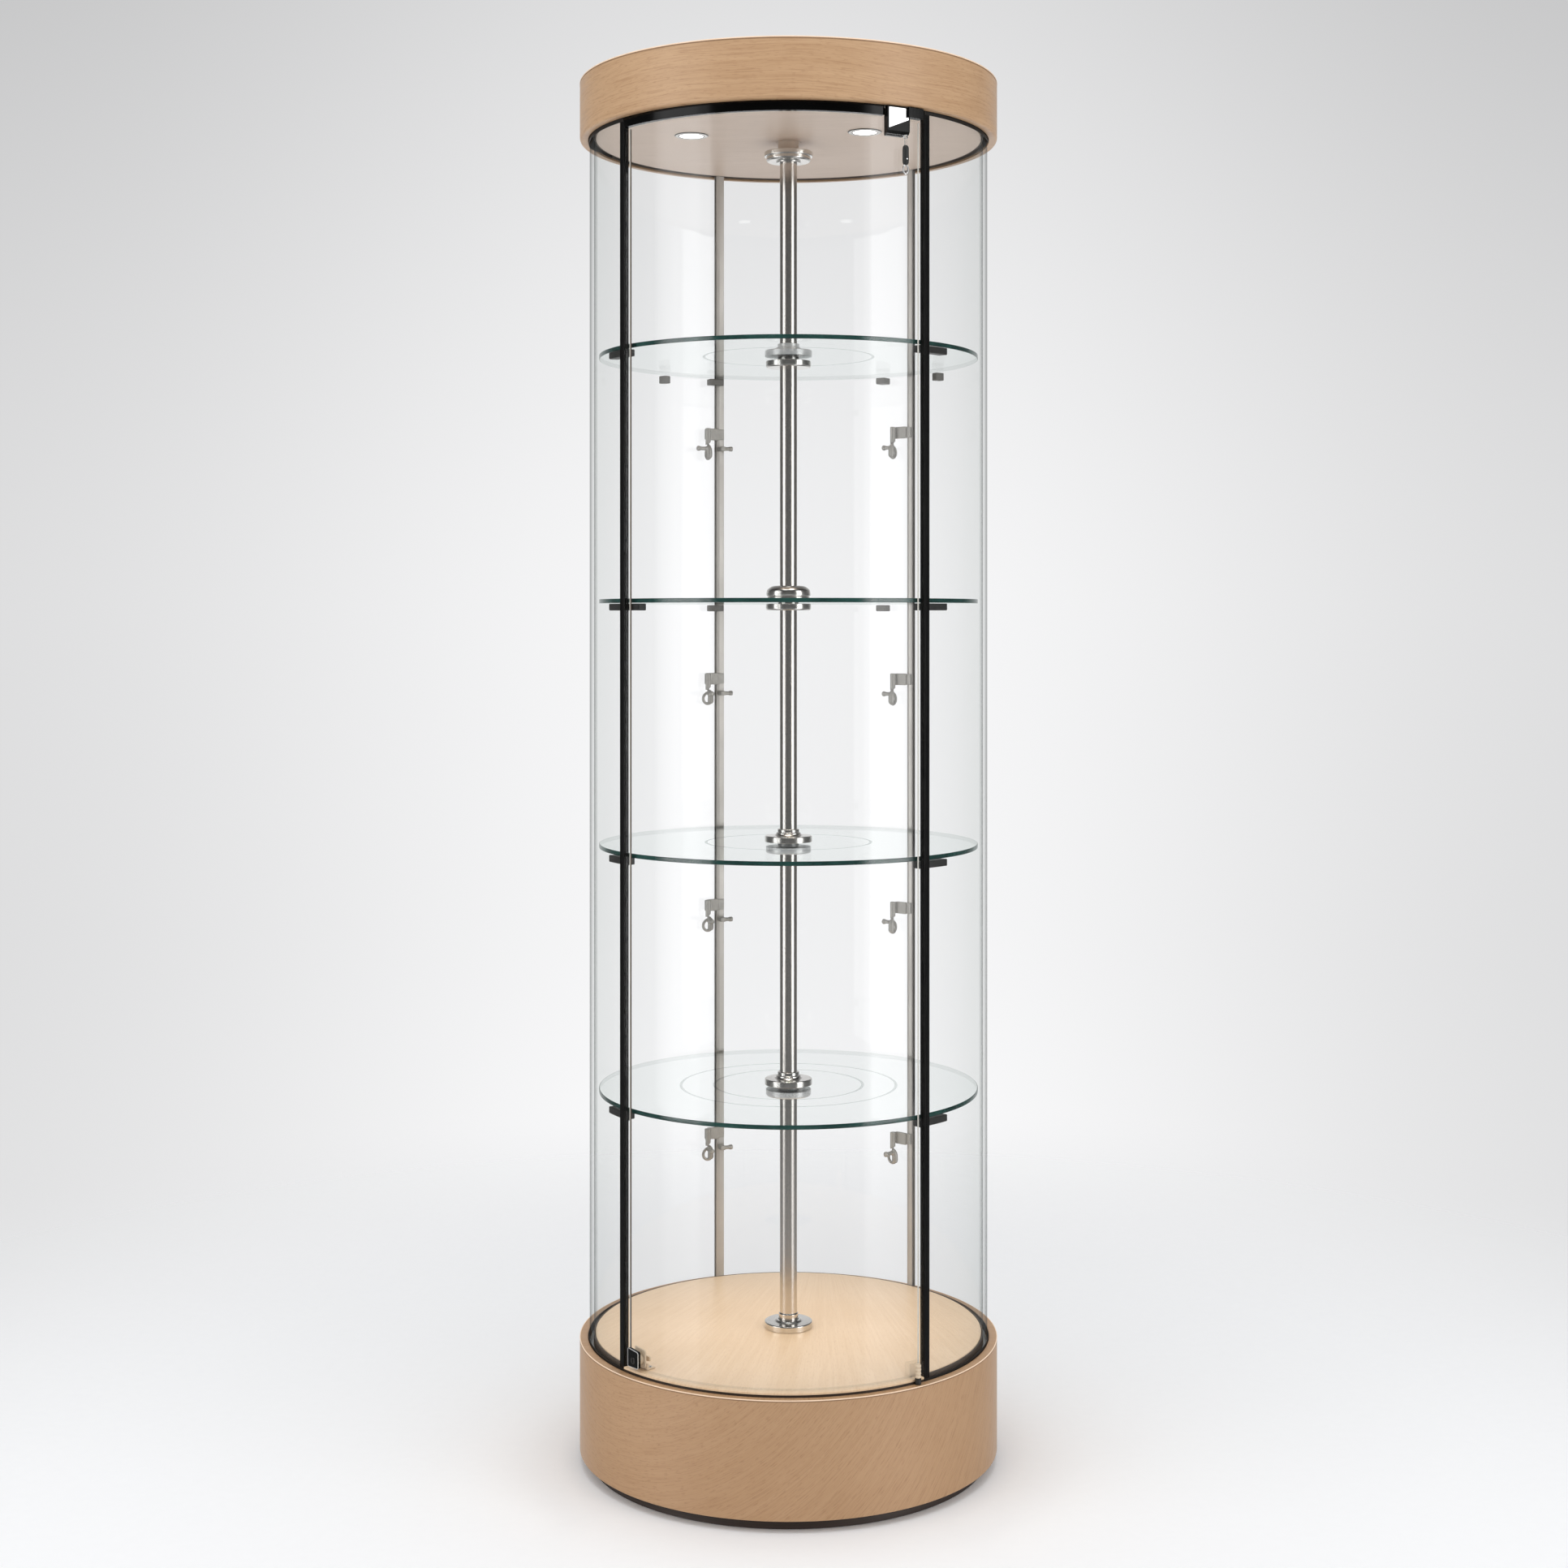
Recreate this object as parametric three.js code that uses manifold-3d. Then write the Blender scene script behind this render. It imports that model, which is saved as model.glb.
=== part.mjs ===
// Round glass display cabinet with a revolving set of shelves.
// Millimetres, +Z up, origin at the middle of the resting face, door centred on -Y.
// An azimuth is counted from the front (-Y) towards +X, in degrees.
import * as THREE from "three";
import { mergeVertices } from "three/addons/utils/BufferGeometryUtils.js";
import Module from "manifold-3d";

// Overall sizes
const totalHeight = 1970;
const drumRadius = 300;
const drumWall = 12;
const plinthHeight = 15.2;
const plinthSetback = 15;
const plinthWall = 23;
const baseDrumHeight = 159.5;
const deckRise = 6;
const boardThick = 18;
const baseBoardThick = 18;
const canopyHeight = 82;
const ceilingRecess = 3;
const topBayShort = 43;
const ledgeReach = 26;
const ledgeThick = 15;
const lidThick = 15;
const lidRebate = 6;
const topBevel = 1.5;
const canopyBevel = 3;

// Glass and its seals
const glassThick = 6;
const glassSetback = 2;
const shelfClearance = 7.3;
const shelfThick = 6;
const sealWeb = 2;
const sealLeg = 1;
const sealProud = 3;
const canopySealDrop = 5;
const doorFloorGap = 3;
const headStripDrop = 13;
const headStripGap = 2;

// Posts
const postDepth = 8.8;
const postSlotDepth = 3;
const frontPostWidth = 10;
const backLeftPostWidth = 13;
const backRightPostWidth = 9;
const frontLeftAzimuth = -46.7;
const frontRightAzimuth = 46.7;
const backRightAzimuth = 144.3;
const backLeftAzimuth = 208.4;
const backAzimuth = 180;
const fullTurn = 360;

// Steady blocks under the shelf rims
const steadyLeftReach = 12.2;
const steadyRightReach = 11.4;
const steadyWideReach = 4.9;
const steadyWideRow = 2;
const steadyDepth = 14.6;
const steadyHeight = 9.5;
const steadyGap = 1;
const steadySetback = 3.4;
const rearBlockWidth = 16;
const rearBlockShift = 15;
const rearPadAzimuth = 153.4;
const rearBlockRows = 2;

// Pole and its collars
const poleRadius = 12.5;
const poleWall = 2;
const collarRadius = 34;
const lowerCollarRadius = 32.5;
const collarThick = 9;
const lowerCollarThick = 9.5;
const hubRadius = 15;
const hubHeight = 10;
const domeRadius = 32;
const domeHeight = 19;
const domeShoulder = 7;
const domeRaise = 4;
const domedShelf = 2;
const deckFlangeRadius = 34.5;
const deckFlangeThick = 9;
const shoulderRadius = 14;
const shoulderHeight = 11;
const bearingRadius = 21.7;
const bearingHeight = 20.3;
const bearingLedge = 2.7;
const bearingLedgeReach = 6;
const ceilingFlangeRadius = 35;
const ceilingFlangeThick = 7;
const ceilingStepRadius = 32;
const ceilingStepThick = 9;
const ceilingFlangeDrop = 14.5;
const bushSleeveRadius = 15;
const collarEdge = 1.2;
const bushRadius = 17.7;
const poleTopInset = 6;

// Drive
const motorRadius = 32;
const motorFootRadius = 50;
const motorFootThick = 5;
const motorHeight = 66;
const motorBossRadius = 13;
const motorBossHeight = 8;
const shaftRadius = 5;
const shaftReach = 18;
const couplingRadius = 18;
const couplingHeight = 44;
const couplingSocket = 24;

// Lights and power
const bezelRadius = 24;
const bezelThick = 2.4;
const bezelLipWidth = 7;
const canRadius = 19;
const lightLeft = { radius: 146, azimuth: -65 };
const lightRight = { radius: 130, azimuth: 62 };
const lensThick = 2;
const driverLength = 140;
const driverWidth = 46;
const driverHeight = 22;
const driverOffset = 110;
const inletWidth = 48;
const inletHeight = 28;
const inletDepth = 26;
const inletRecess = 1;
const inletLevel = 70;
const inletWell = 4;
const inletWellDepth = 14;

// Door, its hinge clamps and its release
const doorEdgeGap = 3.4;
const pivotAzimuth = 42.6;
const pivotWallInset = 8;
const pivotPinRadius = 2.5;
const topClampFrom = 32.7;
const topClampTo = 39.6;
const clampWebFrom = 34;
const clampDrop = 23;
const clampOuter = 7.6;
const clampInner = 6.6;
const clampHead = 13.6;
const clampLug = 4.3;
const pinEntry = 7;
const lugMargin = 5;
const lugOverlap = 1;
const pivotBlockHeight = 8;
const pivotBlockRadius = 4.2;
const bottomClampFrom = 40.6;
const bottomClampHeight = 19;
const sleeveRadius = 5.2;
const sleeveGroove = 0.7;
const sleeveRings = 4;
const bottomClampLip = 4;
const releaseAzimuth = 38.6;
const releaseStem = 13.5;
const releaseStemRadius = 2;
const releaseGripRadius = 4.3;
const releaseGripLength = 27;
const releaseRingRadius = 4.6;
const releaseRingWire = 1.2;
const releaseEntry = 9;

// Door lock and its keeper
const lockAzimuth = -40.4;
const lockRise = 15;
const lockWidth = 22;
const lockAbove = 16;
const lockBelow = 9.5;
const lockOuter = 5;
const lockInner = 3;
const lockSleeve = 8.5;
const cylinderRadius = 5;
const cylinderProud = 1;
const camThick = 2.7;
const camWidth = 8;
const camLength = 11.5;
const camSetback = 5;
const keeperThick = 2.6;
const keeperHeight = 8.6;
const keeperWidth = 20;
const keeperFoot = 12;
const keeperFootThick = 2;

// Hooks on the back posts: plate, stem, swivel eye with a peg
const hookDrops = [83, 112, 113, 117];
const hookPlateHeight = 18;
const hookPlateThick = 4;
const hookPlateSetback = 1.8;
const hookStemOffset = 24;
const hookStemRadius = 4;
const hookStemLength = 25.5;
const hookStemSetback = 10.6;
const hookPinRadius = 1.6;
const hookPinLength = 6;
const eyeHub = 8;
const eyeRadius = 7.2;
const eyeWire = 2.3;
const pegRadius = 3.6;
const pegReach = 19;
const pegDrop = 31.5;
const screwRadius = 3.4;
const screwReach = 16;
const screwLug = 8;
const facingInward = 0;
const facingAside = -85;
const leftEyeTurns = [facingAside, facingInward, facingInward, facingInward];
const rightEyeTurns = [facingAside, facingAside, facingAside, facingInward];

// Clearances and the overrun of cuts
const seatGap = 0.3;
const slotGap = 0.4;
const runGap = 0.6;
const cutOverrun = 1;
const mergeTolerance = 1e-4;

// Facets
const bigFacets = 60;
const midFacets = 18;
const smallFacets = 12;
const tinyFacets = 8;
const wireFacets = 5;
const arcStep = 6;

// Levels and radii worked out from the sizes above
const drumInner = drumRadius - drumWall;
const plinthRadius = drumRadius - plinthSetback;
const fillRadius = drumInner - runGap;
const drumBottom = plinthHeight + seatGap;
const baseTop = drumBottom + baseDrumHeight;
const deckTop = baseTop + deckRise;
const deckBottom = deckTop - boardThick;
const baseLedge = deckBottom - seatGap;
const canopyBottom = totalHeight - canopyHeight;
const ceilingBottom = canopyBottom + ceilingRecess;
const ceilingTop = ceilingBottom + boardThick;
const canopyLedge = ceilingTop + seatGap;
const ledgeRadius = drumInner - ledgeReach;
const glassOuter = drumInner - glassSetback;
const glassInner = glassOuter - glassThick;
const glassMiddle = (glassInner + glassOuter) / 2;
const shelfRadius = glassInner - shelfClearance;
const glassBottom = deckBottom + sealWeb + seatGap;
const glassTop = ceilingTop - sealWeb - seatGap;
const sealInner = glassInner - runGap - sealLeg;
const boardRadius = sealInner - runGap;
const postOuter = fillRadius;
const postInner = postOuter - postDepth;
const pivotRadius = drumRadius - pivotWallInset;
const shelfCount = 4;
const bayHeight = (canopyBottom - deckTop + topBayShort) / (shelfCount + 1);
const shelfTop = (row) => deckTop + bayHeight * (shelfCount + 1 - row);
const shelfBottom = (row) => shelfTop(row) - shelfThick;
const hubBore = poleRadius + seatGap;
const rows = Array.from({ length: shelfCount }, (_, index) => index + 1);

const wasm = await Module();
wasm.setup();

const radians = THREE.MathUtils.degToRad;
// The angle that a tangential offset takes at a radius, in degrees
const angleOf = (offset, radius) => THREE.MathUtils.radToDeg(Math.asin(offset / radius));

// A closed geometry as a solid that can be joined and cut
function solid(geometry) {
  const bare = geometry.index ? geometry.toNonIndexed() : geometry.clone();
  bare.deleteAttribute("normal");
  bare.deleteAttribute("uv");
  const merged = mergeVertices(bare, mergeTolerance);
  const corners = merged.index.array;
  const kept = [];
  for (let i = 0; i < corners.length; i += 3) {
    const [a, b, c] = corners.slice(i, i + 3);
    if (a !== b && b !== c && c !== a) kept.push(a, b, c);
  }
  return new wasm.Manifold(
    new wasm.Mesh({
      numProp: 3,
      vertProperties: merged.attributes.position.array,
      triVerts: new Uint32Array(kept),
    }),
  );
}

// A profile of [radius, level] pairs, anticlockwise, turned round the Z axis
function turned(profile, facets) {
  const points = profile.map(([radius, level]) => new THREE.Vector2(radius, level));
  if (profile[0][0] > 0) points.push(points[0].clone());
  const geometry = new THREE.LatheGeometry(points, facets);
  geometry.rotateX(Math.PI / 2);
  return solid(geometry);
}

const disc = (radius, low, high, facets) =>
  turned([[0, low], [radius, low], [radius, high], [0, high]], facets);
const ring = (inner, outer, low, high, facets) =>
  turned([[inner, low], [outer, low], [outer, high], [inner, high]], facets);

// An arc-shaped bar between two azimuths
function sector(inner, outer, low, high, from, to) {
  const steps = Math.max(1, Math.round((to - from) / arcStep));
  const spots = Array.from({ length: steps + 1 }, (_, i) => radians(from + ((to - from) * i) / steps));
  const at = (radius) => (angle) => new THREE.Vector2(Math.sin(angle) * radius, -Math.cos(angle) * radius);
  const outline = new THREE.Shape([...spots.map(at(outer)), ...spots.reverse().map(at(inner))]);
  const geometry = new THREE.ExtrudeGeometry(outline, { depth: high - low, bevelEnabled: false });
  geometry.translate(0, 0, low);
  return solid(geometry);
}

// A box at azimuth 0: across is +X, radius grows towards -Y
function block(left, right, inner, outer, low, high) {
  const geometry = new THREE.BoxGeometry(right - left, outer - inner, high - low);
  geometry.translate((left + right) / 2, -(inner + outer) / 2, (low + high) / 2);
  return solid(geometry);
}

// An upright rod at azimuth 0
function upright(across, radius, rodRadius, low, high, facets) {
  const geometry = new THREE.CylinderGeometry(rodRadius, rodRadius, high - low, facets);
  geometry.rotateX(Math.PI / 2);
  geometry.translate(across, -radius, (low + high) / 2);
  return solid(geometry);
}

// A rod across azimuth 0, along X
function crossRod(from, to, radius, level, rodRadius, facets) {
  const geometry = new THREE.CylinderGeometry(rodRadius, rodRadius, to - from, facets);
  geometry.rotateZ(Math.PI / 2);
  geometry.translate((from + to) / 2, -radius, level);
  return solid(geometry);
}

// A rod that points outwards at azimuth 0
function radialRod(inner, outer, level, rodRadius, facets) {
  const geometry = new THREE.CylinderGeometry(rodRadius, rodRadius, outer - inner, facets);
  geometry.translate(0, -(inner + outer) / 2, level);
  return solid(geometry);
}

const cabinet = new THREE.Group();

// One named piece, turned to its azimuth
function place(name, body, look, azimuth = 0) {
  const { vertProperties, triVerts } = body.getMesh();
  const geometry = new THREE.BufferGeometry();
  geometry.setAttribute("position", new THREE.BufferAttribute(vertProperties, 3));
  geometry.setIndex(new THREE.BufferAttribute(triVerts, 1));
  geometry.computeVertexNormals();
  const piece = new THREE.Mesh(geometry, new THREE.MeshStandardMaterial(look));
  piece.name = name;
  piece.rotation.z = radians(azimuth);
  cabinet.add(piece);
}

const veneer = { color: 0xd8b287, roughness: 0.45, metalness: 0 };
const darkBoard = { color: 0x2b2623, roughness: 0.7, metalness: 0 };
const plainBoard = { color: 0xb89c78, roughness: 0.8, metalness: 0 };
const clearGlass = { color: 0xdfeeea, roughness: 0.05, metalness: 0, transparent: true, opacity: 0.2 };
const blackMetal = { color: 0x141414, roughness: 0.4, metalness: 0.6 };
const satinMetal = { color: 0x9a948c, roughness: 0.35, metalness: 0.9 };
const steel = { color: 0xb9b9b7, roughness: 0.25, metalness: 1 };
const chrome = { color: 0xdadada, roughness: 0.08, metalness: 1 };
const rubber = { color: 0x111111, roughness: 0.8, metalness: 0 };
const blackPlastic = { color: 0x1b1b1b, roughness: 0.5, metalness: 0 };
const palePlastic = { color: 0xe6e4de, roughness: 0.5, metalness: 0 };
const lightLens = { color: 0xffffff, roughness: 0.3, metalness: 0, emissive: 0xffffff };

// Base
function makeBase() {
  place("plinth_ring", ring(plinthRadius - plinthWall, plinthRadius, 0, plinthHeight, bigFacets), darkBoard);
  place("base_board", disc(fillRadius, drumBottom, drumBottom + baseBoardThick, bigFacets), plainBoard);
  const wall = turned(
    [
      [drumInner, drumBottom],
      [drumRadius, drumBottom],
      [drumRadius, baseTop - topBevel],
      [drumRadius - topBevel, baseTop],
      [drumInner, baseTop],
      [drumInner, baseLedge],
      [ledgeRadius, baseLedge],
      [ledgeRadius, baseLedge - ledgeThick],
      [drumInner, baseLedge - ledgeThick],
    ],
    bigFacets,
  );
  const inletHole = block(
    -inletWidth / 2 - seatGap,
    inletWidth / 2 + seatGap,
    drumRadius - inletDepth - cutOverrun,
    drumRadius + cutOverrun,
    inletLevel - inletHeight / 2 - seatGap,
    inletLevel + inletHeight / 2 + seatGap,
  ).rotate([0, 0, backAzimuth]);
  const pinHole = upright(0, pivotRadius, pivotPinRadius + seatGap, baseTop - pinEntry, baseTop + cutOverrun, tinyFacets);
  place("base_drum", wall.subtract(inletHole).subtract(pinHole.rotate([0, 0, pivotAzimuth])), veneer);

  const deckFrom = frontRightAzimuth - angleOf(frontPostWidth / 2 + runGap + seatGap, glassMiddle);
  const shelfOfSeal = sector(
    boardRadius,
    drumRadius,
    deckBottom - cutOverrun,
    deckTop + cutOverrun,
    deckFrom,
    fullTurn - deckFrom,
  );
  const bearingWell = disc(bearingRadius + seatGap, deckBottom + bearingLedge, deckTop + cutOverrun, midFacets);
  const poleHole = disc(bearingRadius - bearingLedgeReach, deckBottom - cutOverrun, deckTop, midFacets);
  const deck = disc(fillRadius, deckBottom, deckTop, bigFacets);
  place("deck_panel", deck.subtract(shelfOfSeal).subtract(bearingWell).subtract(poleHole), veneer);

  const well = block(
    -inletWidth / 2 + inletWell,
    inletWidth / 2 - inletWell,
    drumRadius - inletRecess - inletWellDepth,
    drumRadius - inletRecess + cutOverrun,
    inletLevel - inletHeight / 2 + inletWell,
    inletLevel + inletHeight / 2 - inletWell,
  );
  const inletBody = block(
    -inletWidth / 2,
    inletWidth / 2,
    drumRadius - inletDepth,
    drumRadius - inletRecess,
    inletLevel - inletHeight / 2,
    inletLevel + inletHeight / 2,
  );
  place("power_inlet", inletBody.subtract(well), blackPlastic, backAzimuth);
}

// Drive under the deck
const motorTop = drumBottom + baseBoardThick + seatGap + motorHeight;
const couplingBottom = motorTop + motorBossHeight + seatGap;
const couplingTop = couplingBottom + couplingHeight;

function makeDrive() {
  const foot = drumBottom + baseBoardThick + seatGap;
  const motor = turned(
    [
      [0, foot],
      [motorFootRadius, foot],
      [motorFootRadius, foot + motorFootThick],
      [motorRadius, foot + motorFootThick],
      [motorRadius, motorTop],
      [motorBossRadius, motorTop],
      [motorBossRadius, motorTop + motorBossHeight],
      [0, motorTop + motorBossHeight],
    ],
    midFacets,
  );
  const shaftHole = disc(shaftRadius + seatGap, couplingBottom - shaftReach - seatGap, couplingTop, smallFacets);
  place("gear_motor", motor.subtract(shaftHole), satinMetal);
  const body = disc(couplingRadius, couplingBottom, couplingTop, midFacets);
  const shaft = disc(shaftRadius, couplingBottom - shaftReach, couplingBottom + cutOverrun, smallFacets);
  const socket = disc(hubBore, couplingTop - couplingSocket, couplingTop + cutOverrun, midFacets);
  place("drive_coupling", body.add(shaft).subtract(socket), steel);
}

// Canopy
function makeCanopy() {
  const lidLevel = totalHeight - lidThick;
  const wall = turned(
    [
      [drumInner, canopyBottom],
      [drumRadius - canopyBevel, canopyBottom],
      [drumRadius, canopyBottom + canopyBevel],
      [drumRadius, totalHeight - topBevel],
      [drumRadius - topBevel, totalHeight],
      [drumInner + lidRebate, totalHeight],
      [drumInner + lidRebate, lidLevel - seatGap],
      [drumInner, lidLevel - seatGap],
      [drumInner, canopyLedge + ledgeThick],
      [ledgeRadius, canopyLedge + ledgeThick],
      [ledgeRadius, canopyLedge],
      [drumInner, canopyLedge],
    ],
    bigFacets,
  );
  const pinTop = canopyBottom + pinEntry + seatGap;
  const pinHole = upright(0, pivotRadius, pivotPinRadius + seatGap, canopyBottom - cutOverrun, pinTop, tinyFacets);
  place("canopy_drum", wall.subtract(pinHole.rotate([0, 0, pivotAzimuth])), veneer);
  place("canopy_lid", disc(drumInner + lidRebate - runGap, lidLevel, totalHeight, bigFacets), plainBoard);

  let ceiling = disc(boardRadius, ceilingBottom, ceilingTop, bigFacets);
  ceiling = ceiling.subtract(
    disc(bushRadius + seatGap, ceilingBottom - cutOverrun, ceilingTop + cutOverrun, midFacets),
  );
  for (const light of [lightLeft, lightRight]) {
    const hole = upright(
      0,
      light.radius,
      canRadius + seatGap,
      ceilingBottom - cutOverrun,
      ceilingTop + cutOverrun,
      midFacets,
    );
    ceiling = ceiling.subtract(hole.rotate([0, 0, light.azimuth]));
  }
  place("ceiling_panel", ceiling, veneer);

  const stripEnd = frontRightAzimuth - angleOf(frontPostWidth / 2 + runGap, glassMiddle);
  const clampEdge = topClampFrom - angleOf(runGap, glassMiddle);
  const top = ceilingTop - seatGap;
  const band = sector(sealInner, fillRadius, canopyBottom - headStripDrop, top, -stripEnd, clampEdge);
  const backing = sector(
    sealInner,
    fillRadius,
    canopyBottom + runGap,
    top,
    clampEdge - angleOf(cutOverrun, glassMiddle),
    stripEnd,
  );
  place("door_head_strip", band.add(backing), rubber);
  const driver = block(
    -driverLength / 2,
    driverLength / 2,
    driverOffset - driverWidth / 2,
    driverOffset + driverWidth / 2,
    ceilingTop + seatGap,
    ceilingTop + seatGap + driverHeight,
  );
  place("light_driver", driver, palePlastic, backAzimuth);
}

// Downlight: a bezel with its can in the ceiling, and a lens inside it
function makeLight(side, spot) {
  const lip = ceilingBottom - seatGap;
  const lipInner = bezelRadius - bezelLipWidth;
  const bezel = turned(
    [
      [lipInner, lip - bezelThick],
      [bezelRadius - bezelThick, lip - bezelThick],
      [bezelRadius, lip],
      [canRadius, lip],
      [canRadius, ceilingTop],
      [lipInner, ceilingTop],
    ],
    midFacets,
  );
  const lensLow = lip - bezelThick + lensThick;
  const lens = disc(lipInner - seatGap, lensLow, lensLow + lensThick, midFacets);
  const shift = [0, -spot.radius, 0];
  place("downlight_bezel_" + side, bezel.translate(shift), chrome, spot.azimuth);
  place("downlight_lens_" + side, lens.translate(shift), lightLens, spot.azimuth);
}

const posts = [
  { side: "front_left", azimuth: frontLeftAzimuth, width: frontPostWidth, slots: [-1], look: blackMetal },
  { side: "front_right", azimuth: frontRightAzimuth, width: frontPostWidth, slots: [1], look: blackMetal },
  { side: "back_right", azimuth: backRightAzimuth, width: backRightPostWidth, slots: [-1, 1], look: satinMetal },
  { side: "back_left", azimuth: backLeftAzimuth, width: backLeftPostWidth, slots: [-1, 1], look: satinMetal },
];
const postNamed = (side) => posts.find((post) => post.side === side);
const steadyOuter = glassInner - steadySetback;
const steadyInner = steadyOuter - steadyDepth;

// The curved steady block at a front post: it reaches away from the door, and on the wide row also towards it
function steadyArc(row, side, neck) {
  const top = shelfBottom(row) - steadyGap;
  const near = angleOf(neck, steadyOuter);
  const left = side === "front_left" ? -steadyLeftReach : -near;
  const wide = row === steadyWideRow ? steadyWideReach : near;
  const right = side === "front_left" ? wide : steadyRightReach;
  const body = sector(steadyInner, steadyOuter, top - steadyHeight, top, left, right);
  const joint = block(-neck, neck, steadyOuter - steadyDepth / 2, postInner + cutOverrun, top - steadyHeight, top);
  return body.add(joint);
}

// A steady block under a shelf rim, with the neck that joins it to its post
function steadyBlock(row, left, right, neck) {
  const top = shelfBottom(row) - steadyGap;
  const body = block(left, right, steadyInner, steadyOuter, top - steadyHeight, top);
  const joint = block(-neck, neck, steadyOuter - cutOverrun, postInner + cutOverrun, top - steadyHeight, top);
  return body.add(joint);
}

// The fixed part of one hook: plate on the post, stem, and a screw on the left post
function hookClamp(row, half, hasScrew) {
  const top = shelfTop(row) - hookDrops[row - 1];
  const stemRadius = postInner - hookStemSetback;
  const plateOuter = postInner - hookPlateSetback;
  const plate = block(0, hookStemOffset, plateOuter - hookPlateThick, plateOuter, top - hookPlateHeight, top);
  const neck = block(0, half, plateOuter - cutOverrun, postInner + cutOverrun, top - hookPlateHeight, top);
  const web = block(
    hookStemOffset - hookStemRadius,
    hookStemOffset + hookStemRadius,
    stemRadius,
    plateOuter,
    top - hookPlateHeight,
    top,
  );
  const low = top - hookStemLength;
  const stem = upright(hookStemOffset, stemRadius, hookStemRadius, low, top, tinyFacets);
  const bore = upright(
    hookStemOffset,
    stemRadius,
    hookPinRadius + seatGap,
    low - cutOverrun,
    low + hookPinLength + seatGap,
    tinyFacets,
  );
  let clamp = plate.add(neck).add(web).add(stem).subtract(bore);
  if (hasScrew) {
    const level = top - pegDrop;
    const lug = block(
      -screwLug / 2,
      screwLug / 2,
      stemRadius - screwRadius,
      postInner + cutOverrun,
      level - screwRadius,
      level + screwRadius,
    );
    clamp = clamp.add(lug).add(crossRod(-screwReach, 0, stemRadius, level, screwRadius, tinyFacets));
  }
  return clamp;
}

function makePosts() {
  for (const post of posts) {
    const half = post.width / 2;
    let bar = block(-half, half, postInner, postOuter, glassBottom, glassTop);
    for (const way of post.slots) {
      const deep = way * (half - postSlotDepth);
      const past = way * (half + cutOverrun);
      bar = bar.subtract(
        block(
          Math.min(deep, past),
          Math.max(deep, past),
          glassInner - slotGap,
          glassOuter + slotGap,
          glassBottom - cutOverrun,
          glassTop + cutOverrun,
        ),
      );
    }
    const isFront = post.side.startsWith("front");
    for (const row of rows) {
      if (isFront) {
        bar = bar.add(steadyArc(row, post.side, half));
      } else {
        bar = bar.add(hookClamp(row, half, post.side === "back_left"));
      }
      if (post.side === "back_left" && row <= rearBlockRows) {
        const left = rearBlockShift - rearBlockWidth / 2;
        bar = bar.add(steadyBlock(row, Math.min(left, 0), left + rearBlockWidth, half));
      }
    }
    place("post_" + post.side, bar, post.look, post.azimuth);
  }
  for (const row of rows.slice(0, rearBlockRows)) {
    const top = shelfBottom(row) - steadyGap;
    const padOuter = Math.sqrt(glassInner ** 2 - (rearBlockWidth / 2) ** 2) - runGap;
    const pad = block(
      -rearBlockWidth / 2,
      rearBlockWidth / 2,
      steadyInner,
      padOuter,
      top - steadyHeight,
      top,
    );
    place("steady_pad_" + row, pad, blackPlastic, rearPadAzimuth);
  }
}

// Fixed glass between two posts
function makePanel(name, from, to, fromPost, toPost) {
  const inset = (post) => angleOf(post.width / 2 - postSlotDepth + slotGap, glassMiddle);
  const panel = sector(glassInner, glassOuter, glassBottom, glassTop, from + inset(fromPost), to - inset(toPost));
  place(name, panel, clearGlass);
}

function makeGlass() {
  const frontLeft = postNamed("front_left");
  const frontRight = postNamed("front_right");
  const backLeft = postNamed("back_left");
  const backRight = postNamed("back_right");
  makePanel("glass_panel_right", frontRightAzimuth, backRightAzimuth, frontRight, backRight);
  makePanel("glass_panel_back", backRightAzimuth, backLeftAzimuth, backRight, backLeft);
  makePanel("glass_panel_left", backLeftAzimuth, frontLeftAzimuth + fullTurn, backLeft, frontLeft);
}

// A U-shaped glazing seal round the fixed glass, notched for the posts
function makeSeal(name, webLow, webHigh, outerLegFrom, outerLegTo, innerLegFrom, innerLegTo) {
  const reach = angleOf(frontPostWidth / 2 + seatGap, glassMiddle);
  const from = frontRightAzimuth - reach;
  const to = fullTurn - from;
  let seal = sector(sealInner, fillRadius, webLow, webHigh, from, to);
  seal = seal.add(sector(fillRadius - sealLeg, fillRadius, outerLegFrom, outerLegTo, from, to));
  seal = seal.add(sector(sealInner, sealInner + sealLeg, innerLegFrom, innerLegTo, from, to));
  for (const post of posts) {
    const half = post.width / 2 + runGap;
    for (const [low, high] of [
      [webHigh, Math.max(outerLegTo, innerLegTo) + cutOverrun],
      [Math.min(outerLegFrom, innerLegFrom) - cutOverrun, webLow],
    ]) {
      const notch = block(-half, half, sealInner - cutOverrun, drumRadius, low, high);
      seal = seal.subtract(notch.rotate([0, 0, post.azimuth]));
    }
  }
  place(name, seal, rubber);
}

function makeSeals() {
  makeSeal(
    "base_glass_seal",
    deckBottom,
    deckBottom + sealWeb,
    deckBottom,
    baseTop + sealProud,
    deckBottom,
    deckTop,
  );
  makeSeal(
    "canopy_glass_seal",
    ceilingTop - sealWeb,
    ceilingTop,
    canopyBottom - canopySealDrop,
    ceilingTop,
    ceilingBottom,
    ceilingTop,
  );
}

// Door
const doorBottom = deckTop + doorFloorGap;
const doorTop = canopyBottom - headStripDrop - headStripGap;
const doorHalf = frontRightAzimuth - angleOf(frontPostWidth / 2 + doorEdgeGap, glassMiddle);
const lockLevel = deckTop + lockRise;

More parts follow.
